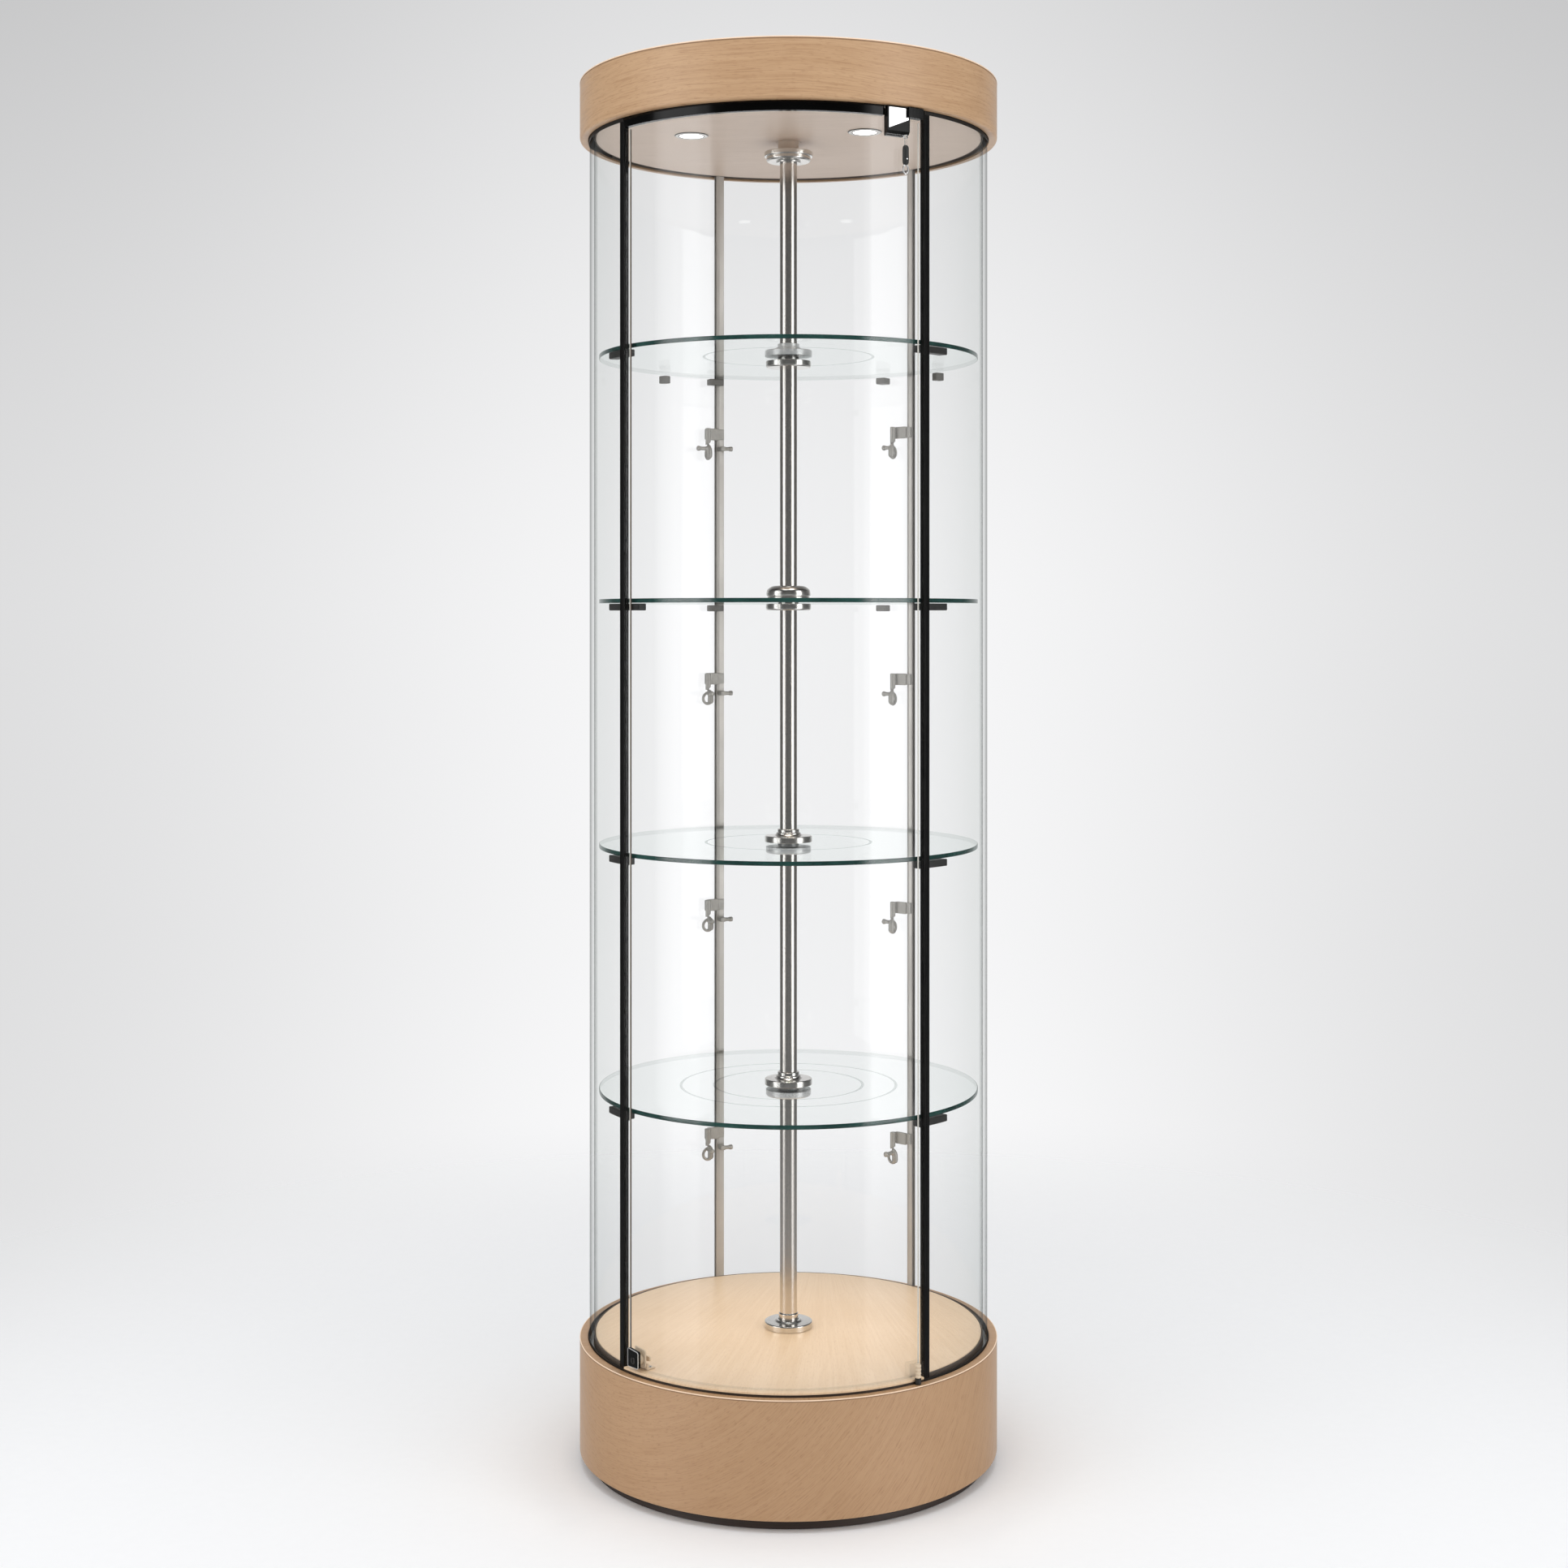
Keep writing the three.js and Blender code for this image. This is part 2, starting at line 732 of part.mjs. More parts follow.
function makeDoor() {
  const sleeveHole = radialRod(
    glassInner - cutOverrun,
    glassOuter + cutOverrun,
    lockLevel,
    lockSleeve + seatGap,
    smallFacets,
  );
  const pane = sector(glassInner, glassOuter, doorBottom, doorTop, -doorHalf, doorHalf);
  place("door_glass", pane.subtract(sleeveHole.rotate([0, 0, lockAzimuth])), clearGlass);

  const outer = glassOuter + slotGap;
  const inner = glassInner - slotGap;
  const headTop = canopyBottom - cutOverrun;
  const headLow = headTop - clampHead;
  const plateLow = headLow - clampDrop;
  const lugTo = pivotAzimuth + angleOf(lugMargin, pivotRadius);
  const pinTop = canopyBottom + pinEntry;
  const pin = upright(0, pivotRadius, pivotPinRadius, headTop - cutOverrun, pinTop, tinyFacets);
  const releaseRadius = outer + slotGap + releaseGripRadius;
  const releaseHole = upright(
    0,
    releaseRadius,
    releaseStemRadius + seatGap,
    plateLow - cutOverrun,
    plateLow + releaseEntry + seatGap,
    tinyFacets,
  );
  const clamp = sector(inner - clampInner, outer + clampOuter, headLow, headTop, clampWebFrom, topClampTo)
    .add(sector(outer, outer + clampOuter, plateLow, headTop, topClampFrom, topClampTo))
    .add(sector(inner - clampInner, inner, plateLow, headTop, clampWebFrom, topClampTo))
    .add(sector(outer, outer + clampOuter + clampLug, headLow, headTop, topClampTo - lugOverlap, lugTo))
    .add(pin.rotate([0, 0, pivotAzimuth]))
    .subtract(releaseHole.rotate([0, 0, releaseAzimuth]));
  place("hinge_clamp_top", clamp, blackMetal);

  const release = makeRelease(plateLow).translate([0, -releaseRadius, 0]);
  place("hinge_release", release, blackPlastic, releaseAzimuth);
}

// Sprung pull under the top hinge clamp: stem, grip and ring, standing on the Z axis
function makeRelease(top) {
  const gripTop = top - releaseStem;
  const gripLow = gripTop - releaseGripLength;
  const stem = disc(releaseStemRadius, gripTop - cutOverrun, top + releaseEntry / 2, tinyFacets);
  const grip = turned(
    [
      [0, gripLow],
      [releaseGripRadius / 2, gripLow],
      [releaseGripRadius, gripLow + releaseGripRadius],
      [releaseGripRadius, gripTop - releaseGripRadius],
      [releaseGripRadius / 2, gripTop],
      [0, gripTop],
    ],
    smallFacets,
  );
  const loop = new THREE.TorusGeometry(releaseRingRadius, releaseRingWire, wireFacets, smallFacets);
  loop.rotateX(Math.PI / 2);
  loop.translate(0, 0, gripLow - releaseRingRadius);
  return stem.add(grip).add(solid(loop));
}

function makePivot() {
  const outer = glassOuter + slotGap;
  const inner = glassInner - slotGap;
  const blockTop = baseTop + seatGap + pivotBlockHeight;
  const blockBody = ring(
    pivotPinRadius + seatGap,
    pivotBlockRadius,
    baseTop + seatGap,
    blockTop,
    smallFacets,
  );
  place("pivot_block_bottom", blockBody.translate([0, -pivotRadius, 0]), blackPlastic, pivotAzimuth);

  const low = blockTop + seatGap;
  const high = low + bottomClampHeight;
  const ringPitch = bottomClampHeight / sleeveRings;
  const outline = [[0, low]];
  for (let i = 0; i < sleeveRings; i += 1) {
    outline.push([sleeveRadius, low + ringPitch * i]);
    outline.push([sleeveRadius, low + ringPitch * (i + 1) - sleeveGroove]);
    outline.push([sleeveRadius - sleeveGroove, low + ringPitch * (i + 1) - sleeveGroove]);
    outline.push([sleeveRadius - sleeveGroove, low + ringPitch * (i + 1)]);
  }
  outline.push([0, high]);
  const pin = disc(pivotPinRadius, baseTop - pinEntry + seatGap, low + cutOverrun, tinyFacets);
  const sleeve = turned(outline, smallFacets).add(pin).translate([0, -pivotRadius, 0]);
  const clipTo = doorHalf;
  const clipLow = Math.max(low, deckTop + runGap);
  const clip = sector(inner - bottomClampLip, outer + bottomClampLip, clipLow, high, bottomClampFrom, clipTo).subtract(
    sector(inner, outer, doorBottom - seatGap, high + cutOverrun, bottomClampFrom - arcStep, clipTo + arcStep),
  );
  const floor = sector(
    inner - bottomClampLip,
    outer + bottomClampLip,
    clipLow,
    doorBottom - seatGap,
    bottomClampFrom,
    clipTo,
  );
  place("hinge_clamp_bottom", clip.add(floor).add(sleeve.rotate([0, 0, pivotAzimuth])), steel);
}

function makeLock() {
  const outer = glassOuter + slotGap;
  const inner = glassInner - slotGap;
  const half = lockWidth / 2;
  const low = lockLevel - lockBelow;
  const high = lockLevel + lockAbove;
  const innerFace = inner - lockInner;
  const outerFace = outer + lockOuter;
  const bore = radialRod(
    innerFace - cutOverrun,
    outerFace + cutOverrun,
    lockLevel,
    cylinderRadius + seatGap,
    smallFacets,
  );
  const housing = block(-half, half, innerFace, inner - seatGap, low, high)
    .add(block(-half, half, outer + seatGap, outerFace, low, high))
    .add(radialRod(innerFace, outerFace, lockLevel, lockSleeve, smallFacets))
    .subtract(bore);
  place("lock_housing", housing, blackMetal, lockAzimuth);

  const camOuter = innerFace - camSetback;
  const cam = block(
    -camWidth / 2,
    camLength,
    camOuter - camThick,
    camOuter,
    lockLevel - camWidth / 2,
    lockLevel + camWidth / 2,
  );
  const barrel = radialRod(camOuter - camThick, outerFace + cylinderProud, lockLevel, cylinderRadius, smallFacets);
  place("lock_cylinder", barrel.add(cam), chrome, lockAzimuth);

  const keeperInner = camOuter + runGap;
  const foot = deckTop + seatGap;
  const keeper = block(
    -keeperWidth / 2,
    keeperWidth / 2,
    keeperInner,
    keeperInner + keeperThick,
    foot,
    foot + keeperHeight,
  ).add(
    block(
      -keeperWidth / 2,
      keeperWidth / 2,
      keeperInner - keeperFoot,
      keeperInner + keeperThick,
      foot,
      foot + keeperFootThick,
    ),
  );
  place("lock_keeper", keeper, steel, lockAzimuth);
}

// Pole with its shoulder, bearing, flanges and upper bush
function makePole() {
  const bearingTop = deckBottom + bearingLedge + seatGap + bearingHeight;
  const flangeLow = deckTop + seatGap;
  const flangeTop = flangeLow + deckFlangeThick;
  const poleLow = couplingTop - couplingSocket + seatGap;
  const poleTop = ceilingTop - poleTopInset;
  const inside = poleRadius - poleWall;
  const pole = turned(
    [
      [inside, poleLow],
      [poleRadius, poleLow],
      [poleRadius, bearingTop + seatGap],
      [shoulderRadius, bearingTop + seatGap],
      [shoulderRadius, flangeTop + shoulderHeight],
      [poleRadius, flangeTop + shoulderHeight + collarEdge],
      [poleRadius, poleTop],
      [inside, poleTop],
    ],
    midFacets,
  );
  place("spindle_pole", pole, steel);
  place(
    "lower_bearing",
    ring(poleRadius + seatGap, bearingRadius, deckBottom + bearingLedge + seatGap, bearingTop, midFacets),
    steel,
  );
  place(
    "deck_flange",
    turned(
      [
        [bearingRadius + seatGap, flangeLow],
        [deckFlangeRadius, flangeLow],
        [deckFlangeRadius, flangeTop - collarEdge],
        [deckFlangeRadius - collarEdge, flangeTop],
        [shoulderRadius + runGap, flangeTop],
        [shoulderRadius + runGap, bearingTop + seatGap],
        [bearingRadius + seatGap, bearingTop + seatGap],
      ],
      midFacets,
    ),
    steel,
  );
  const flangeHigh = ceilingBottom - ceilingFlangeDrop;
  const stepHigh = flangeHigh - ceilingFlangeThick;
  const stepLow = stepHigh - ceilingStepThick;
  const sleeveFit = bushSleeveRadius + seatGap;
  place(
    "ceiling_flange",
    turned(
      [
        [hubBore, stepLow],
        [ceilingStepRadius - collarEdge, stepLow],
        [ceilingStepRadius, stepLow + collarEdge],
        [ceilingStepRadius, stepHigh],
        [ceilingFlangeRadius, stepHigh],
        [ceilingFlangeRadius, flangeHigh],
        [sleeveFit, flangeHigh],
        [sleeveFit, stepHigh],
        [hubBore, stepHigh],
      ],
      midFacets,
    ),
    steel,
  );
  place(
    "upper_bush",
    turned(
      [
        [hubBore, stepHigh + seatGap],
        [bushSleeveRadius, stepHigh + seatGap],
        [bushSleeveRadius, ceilingBottom],
        [bushRadius, ceilingBottom],
        [bushRadius, ceilingTop],
        [hubBore, ceilingTop],
      ],
      midFacets,
    ),
    palePlastic,
  );
}

// A glass shelf with the collars that clamp it
function makeShelf(row) {
  const top = shelfTop(row);
  const bottom = shelfBottom(row);
  place("shelf_" + row, ring(hubRadius + seatGap, shelfRadius, bottom, top, bigFacets), clearGlass);
  const under = bottom - seatGap;
  const spigotTop = top - seatGap;
  place(
    "lower_collar_" + row,
    turned(
      [
        [hubBore, under - lowerCollarThick],
        [lowerCollarRadius - collarEdge, under - lowerCollarThick],
        [lowerCollarRadius, under - lowerCollarThick + collarEdge],
        [lowerCollarRadius, under],
        [hubRadius, under],
        [hubRadius, spigotTop],
        [hubBore, spigotTop],
      ],
      midFacets,
    ),
    steel,
  );
  const seat = top + seatGap;
  const flat = [
    [hubBore, seat],
    [collarRadius, seat],
    [collarRadius, seat + collarThick - collarEdge],
    [collarRadius - collarEdge, seat + collarThick],
    [hubRadius, seat + collarThick],
    [hubRadius, seat + collarThick + hubHeight],
    [hubBore, seat + collarThick + hubHeight],
  ];
  const domeLow = seat + domeRaise;
  const domeTop = domeLow + domeHeight;
  const domed = [
    [hubBore, seat],
    [hubRadius, seat],
    [hubRadius, domeLow],
    [domeRadius, domeLow],
    [domeRadius, domeTop - domeShoulder],
    [domeRadius - domeShoulder * (1 - Math.SQRT1_2), domeTop - domeShoulder * (1 - Math.SQRT1_2)],
    [domeRadius - domeShoulder, domeTop],
    [hubBore, domeTop],
  ];
  place("upper_collar_" + row, turned(row === domedShelf ? domed : flat, midFacets), steel);
}

// The swivel part of a hook: pin, hub, eye and peg, turning on its stem
function makeEye(side, post, row, turn) {
  const top = shelfTop(row) - hookDrops[row - 1];
  const hubTop = top - hookStemLength - seatGap;
  const hubLow = hubTop - eyeHub;
  const pin = disc(hookPinRadius, hubTop - cutOverrun, hubTop + hookPinLength, tinyFacets);
  const hub = disc(hookStemRadius, hubLow, hubTop, tinyFacets);
  const loop = new THREE.TorusGeometry(eyeRadius, eyeWire, wireFacets, smallFacets);
  loop.rotateX(Math.PI / 2);
  loop.translate(0, 0, hubLow - eyeRadius + eyeWire / 2);
  const peg = radialRod(-pegReach, 0, top - pegDrop, pegRadius, tinyFacets);
  const eye = hub.add(pin).add(solid(loop)).add(peg).rotate([0, 0, turn]);
  const stemRadius = postInner - hookStemSetback;
  place("hook_eye_" + side + "_" + row, eye.translate([hookStemOffset, -stemRadius, 0]), satinMetal, post.azimuth);
}

makeBase();
makeDrive();
makeCanopy();
makeLight("left", lightLeft);
makeLight("right", lightRight);
makePosts();
makeGlass();
makeSeals();
makeDoor();
makePivot();
makeLock();
makePole();
rows.forEach(makeShelf);
for (const row of rows) {
  makeEye("left", postNamed("back_left"), row, leftEyeTurns[row - 1]);
  makeEye("right", postNamed("back_right"), row, rightEyeTurns[row - 1]);
}

export default cabinet;
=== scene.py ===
"""Looks of the round glass display cabinet: fine surfaces, materials, light and camera."""

import math

import bmesh
import bpy
from mathutils import Matrix, Vector


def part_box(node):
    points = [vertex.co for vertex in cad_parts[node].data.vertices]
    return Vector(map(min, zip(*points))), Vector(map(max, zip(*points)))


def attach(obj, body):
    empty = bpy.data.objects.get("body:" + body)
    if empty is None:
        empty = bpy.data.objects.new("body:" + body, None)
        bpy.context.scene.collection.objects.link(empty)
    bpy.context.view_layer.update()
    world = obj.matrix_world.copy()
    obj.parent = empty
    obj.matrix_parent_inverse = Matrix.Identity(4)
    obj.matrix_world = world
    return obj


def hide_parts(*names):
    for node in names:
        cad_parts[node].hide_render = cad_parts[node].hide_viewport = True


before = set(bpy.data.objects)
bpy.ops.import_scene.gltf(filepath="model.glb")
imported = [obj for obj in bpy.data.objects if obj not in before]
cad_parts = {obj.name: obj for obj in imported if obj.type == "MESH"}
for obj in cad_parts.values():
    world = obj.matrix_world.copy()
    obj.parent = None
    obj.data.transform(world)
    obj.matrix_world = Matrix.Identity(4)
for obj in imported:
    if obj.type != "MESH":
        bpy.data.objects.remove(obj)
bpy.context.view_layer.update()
MM = 0.001


def packed(node, corner, axis):
    """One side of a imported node's box in millimetres: corner 0 is the lowest, 1 the highest."""
    return round(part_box(node)[corner][axis] / MM, 1)


# Sizes in millimetres, read from the frame
DRUM_R, BASE_TOP = packed("base_drum", 1, 0), packed("base_drum", 1, 2)
DECK_LOW, DECK_TOP = packed("deck_panel", 0, 2), packed("deck_panel", 1, 2)
FILL_R = -packed("deck_panel", 0, 1)
CANOPY_LOW, CANOPY_TOP = packed("canopy_drum", 0, 2), packed("canopy_drum", 1, 2)
CEILING_LOW, CEILING_TOP = packed("ceiling_panel", 0, 2), packed("ceiling_panel", 1, 2)
GLASS_LOW, GLASS_HIGH = packed("glass_panel_back", 0, 2), packed("glass_panel_back", 1, 2)
DOOR_LOW, DOOR_HIGH = packed("door_glass", 0, 2), packed("door_glass", 1, 2)
SHELF_TOPS = [packed(f"shelf_{row}", 1, 2) for row in (1, 2, 3, 4)]
SHELF_R = packed("shelf_1", 1, 0)

# Sizes in millimetres, as the frame has them inside its boxes
DRUM_IN = DRUM_R - 12
BOARD_R = FILL_R - 10
SEAL_IN = FILL_R - 9
POST_IN = FILL_R - 8.8
GLASS_OUT = DRUM_R - 14
GLASS_IN = GLASS_OUT - 6
SEAL_SLOT_IN, SEAL_SLOT_OUT = GLASS_IN - 0.6, GLASS_OUT + 0.4
SHELF_THICK = 6
FIT = 0.3
POLE_R, POLE_IN = 12.5, 10.5
COLLAR_BORE = 12.8
BLOCK_HIGH = 9.5
HOOK_DROPS = (83, 112, 113, 117)
HOOK_OUT, HOOK_STEM_R = 24, 268

# Places round the axis, in degrees from the front towards +X
POSTS = {"front_left": -46.7, "front_right": 46.7, "back_right": 144.3, "back_left": 208.4}
BACK_POST_HALF = {"left": 6.5, "right": 4.5}
DOOR_HALF = 45.0
SEAL_END = 45.8
LIGHTS = {"left": (-65, 146), "right": (62, 130)}
FIRST_VIEW = 6


# Shape helpers
def rounded(points, steps=3):
    """A closed outline of (x, y, corner radius) with its corners rounded."""
    out = []
    count = len(points)
    for i in range(count):
        before, here, after = (Vector(points[j % count][:2]) for j in (i - 1, i, i + 1))
        reach = min(points[i][2], 0.45 * (before - here).length, 0.45 * (after - here).length)
        if reach < 0.02:
            out.append(tuple(here))
            continue
        a = here + (before - here).normalized() * reach
        c = here + (after - here).normalized() * reach
        for k in range(steps + 1):
            t = k / steps
            out.append(tuple(a * (1 - t) ** 2 + here * 2 * t * (1 - t) + c * t**2))
    return out


def four_sided(inner, outer, low, high, edges, steps=3):
    """Section of a ring or bar. edges are its corner radii, anticlockwise from the inner lower one."""
    corners = ((inner, low), (outer, low), (outer, high), (inner, high))
    edges = edges if isinstance(edges, tuple) else (edges,) * 4
    return rounded([(*corner, edge) for corner, edge in zip(corners, edges)], steps)


def spot(azimuth, radius, level):
    """A point from its azimuth (0 at the front, towards +X), radius and level."""
    angle = math.radians(azimuth)
    return Vector((math.sin(angle) * radius, -math.cos(angle) * radius, level))


def turned(point):
    """The azimuth of a point, in degrees from the front."""
    return math.degrees(math.atan2(point.x, -point.y))


def upright(degrees):
    return Matrix.Rotation(math.radians(degrees), 4, "Z")


# Turns a plate that is drawn lying down so that it faces the front
STAND_UP = Matrix.Rotation(math.pi / 2, 4, "X")


def join(bm, part):
    """Adds part to bm and returns bm, or returns part where there is no bm yet."""
    if bm is None:
        return part
    mesh = bpy.data.meshes.new("joining")
    part.to_mesh(mesh)
    part.free()
    bm.from_mesh(mesh)
    bpy.data.meshes.remove(mesh)
    return bm


def bridge(bm, lower, upper):
    """A band of faces between two closed rows of points."""
    count = len(lower)
    for k in range(count):
        n = (k + 1) % count
        bm.faces.new((lower[k], lower[n], upper[n], upper[k]))


def arc_bar(profile, start=0.0, end=360.0, step=1.5, bm=None):
    """A closed (radius, level) profile swept round Z, with end faces where it isn't a full turn."""
    full = end - start >= 360
    count = max(2, round((end - start) / step))
    part = bmesh.new()
    rings = []
    for i in range(count + (0 if full else 1)):
        azimuth = start + (end - start) * i / count
        rings.append([part.verts.new(spot(azimuth, r, z)) for r, z in profile])
    for i in range(count):
        here, following = rings[i], rings[(i + 1) % len(rings)]
        for k in range(len(profile)):
            n = (k + 1) % len(profile)
            if profile[k][0] >= 1e-6 or profile[n][0] >= 1e-6:
                part.faces.new((here[k], following[k], following[n], here[n]))
    if not full:
        part.faces.new(rings[0])
        part.faces.new(rings[-1][::-1])
    bmesh.ops.remove_doubles(part, verts=part.verts, dist=1e-5)
    bmesh.ops.dissolve_degenerate(part, dist=1e-5, edges=part.edges)
    return join(bm, part)


def lathe(profile, seg=160, at=(0, 0), bm=None):
    """A solid turned round an upright axis. profile runs anticlockwise in (radius, level)."""
    part = arc_bar(profile, step=360 / seg)
    part.transform(Matrix.Translation((at[0], at[1], 0)))
    return join(bm, part)


def plate(outline, low, high, edge, steps=2, bm=None, turn=None):
    """A plate from a closed anticlockwise outline, with rounded rims."""
    part = bmesh.new()
    layers = []
    for level, inset in rim_layers(low, high, edge, steps):
        layers.append([part.verts.new((x, y, level)) for x, y in shrink(outline, inset)])
    for lower, upper in zip(layers, layers[1:]):
        bridge(part, lower, upper)
    part.faces.new(layers[0][::-1])
    part.faces.new(layers[-1])
    if turn is not None:
        part.transform(turn)
    return join(bm, part)


def rim_layers(low, high, edge, steps):
    """Levels and insets that round the lower and upper rims of a plate."""
    if edge <= 0:
        return [(low, 0), (high, 0)]
    quarter = [k / steps * math.pi / 2 for k in range(steps + 1)]
    up = [(low + edge * (1 - math.sin(a)), edge * (1 - math.cos(a))) for a in reversed(quarter)]
    down = [(high - edge * (1 - math.sin(a)), edge * (1 - math.cos(a))) for a in quarter]
    return up + down


def shrink(outline, inset):
    """The outline moved inwards by inset."""
    if inset <= 0:
        return outline
    count = len(outline)
    moved = []
    for i in range(count):
        before, here, after = (Vector(outline[j % count]) for j in (i - 1, i, i + 1))
        d1, d2 = (here - before).normalized(), (after - here).normalized()
        n1, n2 = Vector((-d1.y, d1.x)), Vector((-d2.y, d2.x))
        way = n1 + n2
        way = way.normalized() / max(0.4, way.length / 2) if way.length > 1e-6 else n1
        moved.append(tuple(here + way * inset))
    return moved


def box(left, right, inner, outer, low, high, bevel, bm=None, steps=2):
    """A rounded block at azimuth 0: left and right along X, inner and outer radius towards -Y."""
    part = bmesh.new()
    bmesh.ops.create_cube(part, size=1)
    middle = ((left + right) / 2, -(inner + outer) / 2, (low + high) / 2)
    bmesh.ops.scale(part, vec=(right - left, outer - inner, high - low), verts=part.verts)
    bmesh.ops.translate(part, vec=middle, verts=part.verts)
    if bevel:
        bmesh.ops.bevel(part, geom=part.edges[:], offset=bevel, segments=steps, profile=0.5, affect="EDGES")
    return join(bm, part)


def aim_up(part, foot, way):
    """Moves a part that stands on the origin to foot, and tips its upright axis to way."""
    turn = Vector((0, 0, 1)).rotation_difference(way).to_matrix().to_4x4()
    part.transform(Matrix.Translation(foot) @ turn)


def rod(a, b, radius, seg=24, edge=0.4, bm=None):
    """A round rod between two points, with rounded ends."""
    a, b = Vector(a), Vector(b)
    length = (b - a).length
    edge = min(edge, radius * 0.9)
    ends = [k / 3 * math.pi / 2 for k in range(4)]
    profile = [(0, 0)]
    profile += [(radius - edge * (1 - math.sin(t)), edge * (1 - math.cos(t))) for t in ends]
    profile += [(radius - edge * (1 - math.cos(t)), length - edge * (1 - math.sin(t))) for t in ends]
    profile.append((0, length))
    part = lathe(profile, seg)
    aim_up(part, a, (b - a).normalized())
    return join(bm, part)


def pipe(points, radii, seg=22, closed=False, bm=None):
    """A round wire along a path of points, with a radius for each."""
    count = len(points)
    part = bmesh.new()
    normal = None
    rings = []
    for i, p in enumerate(points):
        before, after = (i - 1, (i + 1) % count) if closed else (max(0, i - 1), min(count - 1, i + 1))
        along = (points[after] - points[before]).normalized()
        if normal is None:
            normal = along.orthogonal().normalized() if abs(along.z) > 0.9 else Vector((0, 0, 1))
        normal = (normal - along * normal.dot(along)).normalized()
        side = along.cross(normal)
        turns = [2 * math.pi * k / seg for k in range(seg)]
        offsets = [normal * math.cos(t) * radii[i] + side * math.sin(t) * radii[i] for t in turns]
        rings.append([part.verts.new(p + offset) for offset in offsets])
    for i in range(count if closed else count - 1):
        bridge(part, rings[i], rings[(i + 1) % count])
    if not closed:
        part.faces.new(rings[0][::-1])
        part.faces.new(rings[-1])
    bmesh.ops.recalc_face_normals(part, faces=part.faces)
    return join(bm, part)


def placed(name, data, location=(0, 0, 0)):
    obj = bpy.data.objects.new(name, data)
    bpy.context.scene.collection.objects.link(obj)
    obj.location = location
    return obj


def piece(name, bm, looks, body="cabinet", azimuth=0.0, stands_for=None, sharp=38, weighted=True):
    """One finished piece of the object, from a mesh in millimetres."""
    bm.transform(upright(azimuth))
    bm.transform(Matrix.Scale(MM, 4))
    bmesh.ops.recalc_face_normals(bm, faces=bm.faces)
    mesh = bpy.data.meshes.new(name)
    bm.to_mesh(mesh)
    bm.free()
    for look in looks if isinstance(looks, list) else [looks]:
        mesh.materials.append(look)
    mesh.shade_smooth()
    mesh.set_sharp_from_angle(angle=math.radians(sharp))
    obj = placed(name, mesh)
    if weighted:
        even = obj.modifiers.new("Even shading", "WEIGHTED_NORMAL")
        even.keep_sharp = True
    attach(obj, body)
    if stands_for:
        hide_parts(stands_for)
    return obj


def cut(obj, *cutters):
    """Takes solids in millimetres out of a piece."""
    for part in cutters:
        mesh = bpy.data.meshes.new("cutter")
        part.transform(Matrix.Scale(MM, 4))
        bmesh.ops.recalc_face_normals(part, faces=part.faces)
        part.to_mesh(mesh)
        part.free()
        tool = placed("cutter", mesh)
        step = obj.modifiers.new("Cut", "BOOLEAN")
        step.operation, step.object, step.solver = "DIFFERENCE", tool, "EXACT"
        bpy.context.view_layer.update()
        kept = [m for m in obj.modifiers if m.type != "BOOLEAN"]
        for m in kept:
            m.show_viewport = False
        depsgraph = bpy.context.evaluated_depsgraph_get()
        fresh = bpy.data.meshes.new_from_object(obj.evaluated_get(depsgraph), depsgraph=depsgraph)
        for m in kept:
            m.show_viewport = True
        obj.modifiers.remove(step)
        old = obj.data
        obj.data = fresh
        fresh.name = old.name
        bpy.data.meshes.remove(old)
        bpy.data.objects.remove(tool)
        bpy.data.meshes.remove(mesh)
    obj.data.shade_smooth()
    obj.data.set_sharp_from_angle(angle=math.radians(38))
    return obj


# Materials
def lin(red, green, blue, alpha=1.0):
    """A colour given as it looks on screen, 0 to 255, as the renderer needs it."""
    def one(value):
        value /= 255
        return value / 12.92 if value <= 0.04045 else ((value + 0.055) / 1.055) ** 2.4

    return one(red), one(green), one(blue), alpha


class Value:
    """A value that nodes work out. Plain arithmetic on it adds the nodes for it."""

    def __init__(self, look, socket):
        self.look, self.socket = look, socket

    def __add__(self, other):
        return self.look.math("ADD", self, other)

    def __sub__(self, other):
        return self.look.math("SUBTRACT", self, other)

    def __rsub__(self, other):
        return self.look.math("SUBTRACT", other, self)

    def __mul__(self, other):
        return self.look.math("MULTIPLY", self, other)

    def __pow__(self, other):
        return self.look.math("POWER", self, other)

    def __mod__(self, other):
        return self.look.math("MODULO", self, other)

    def __abs__(self):
        return self.look.math("ABSOLUTE", self)


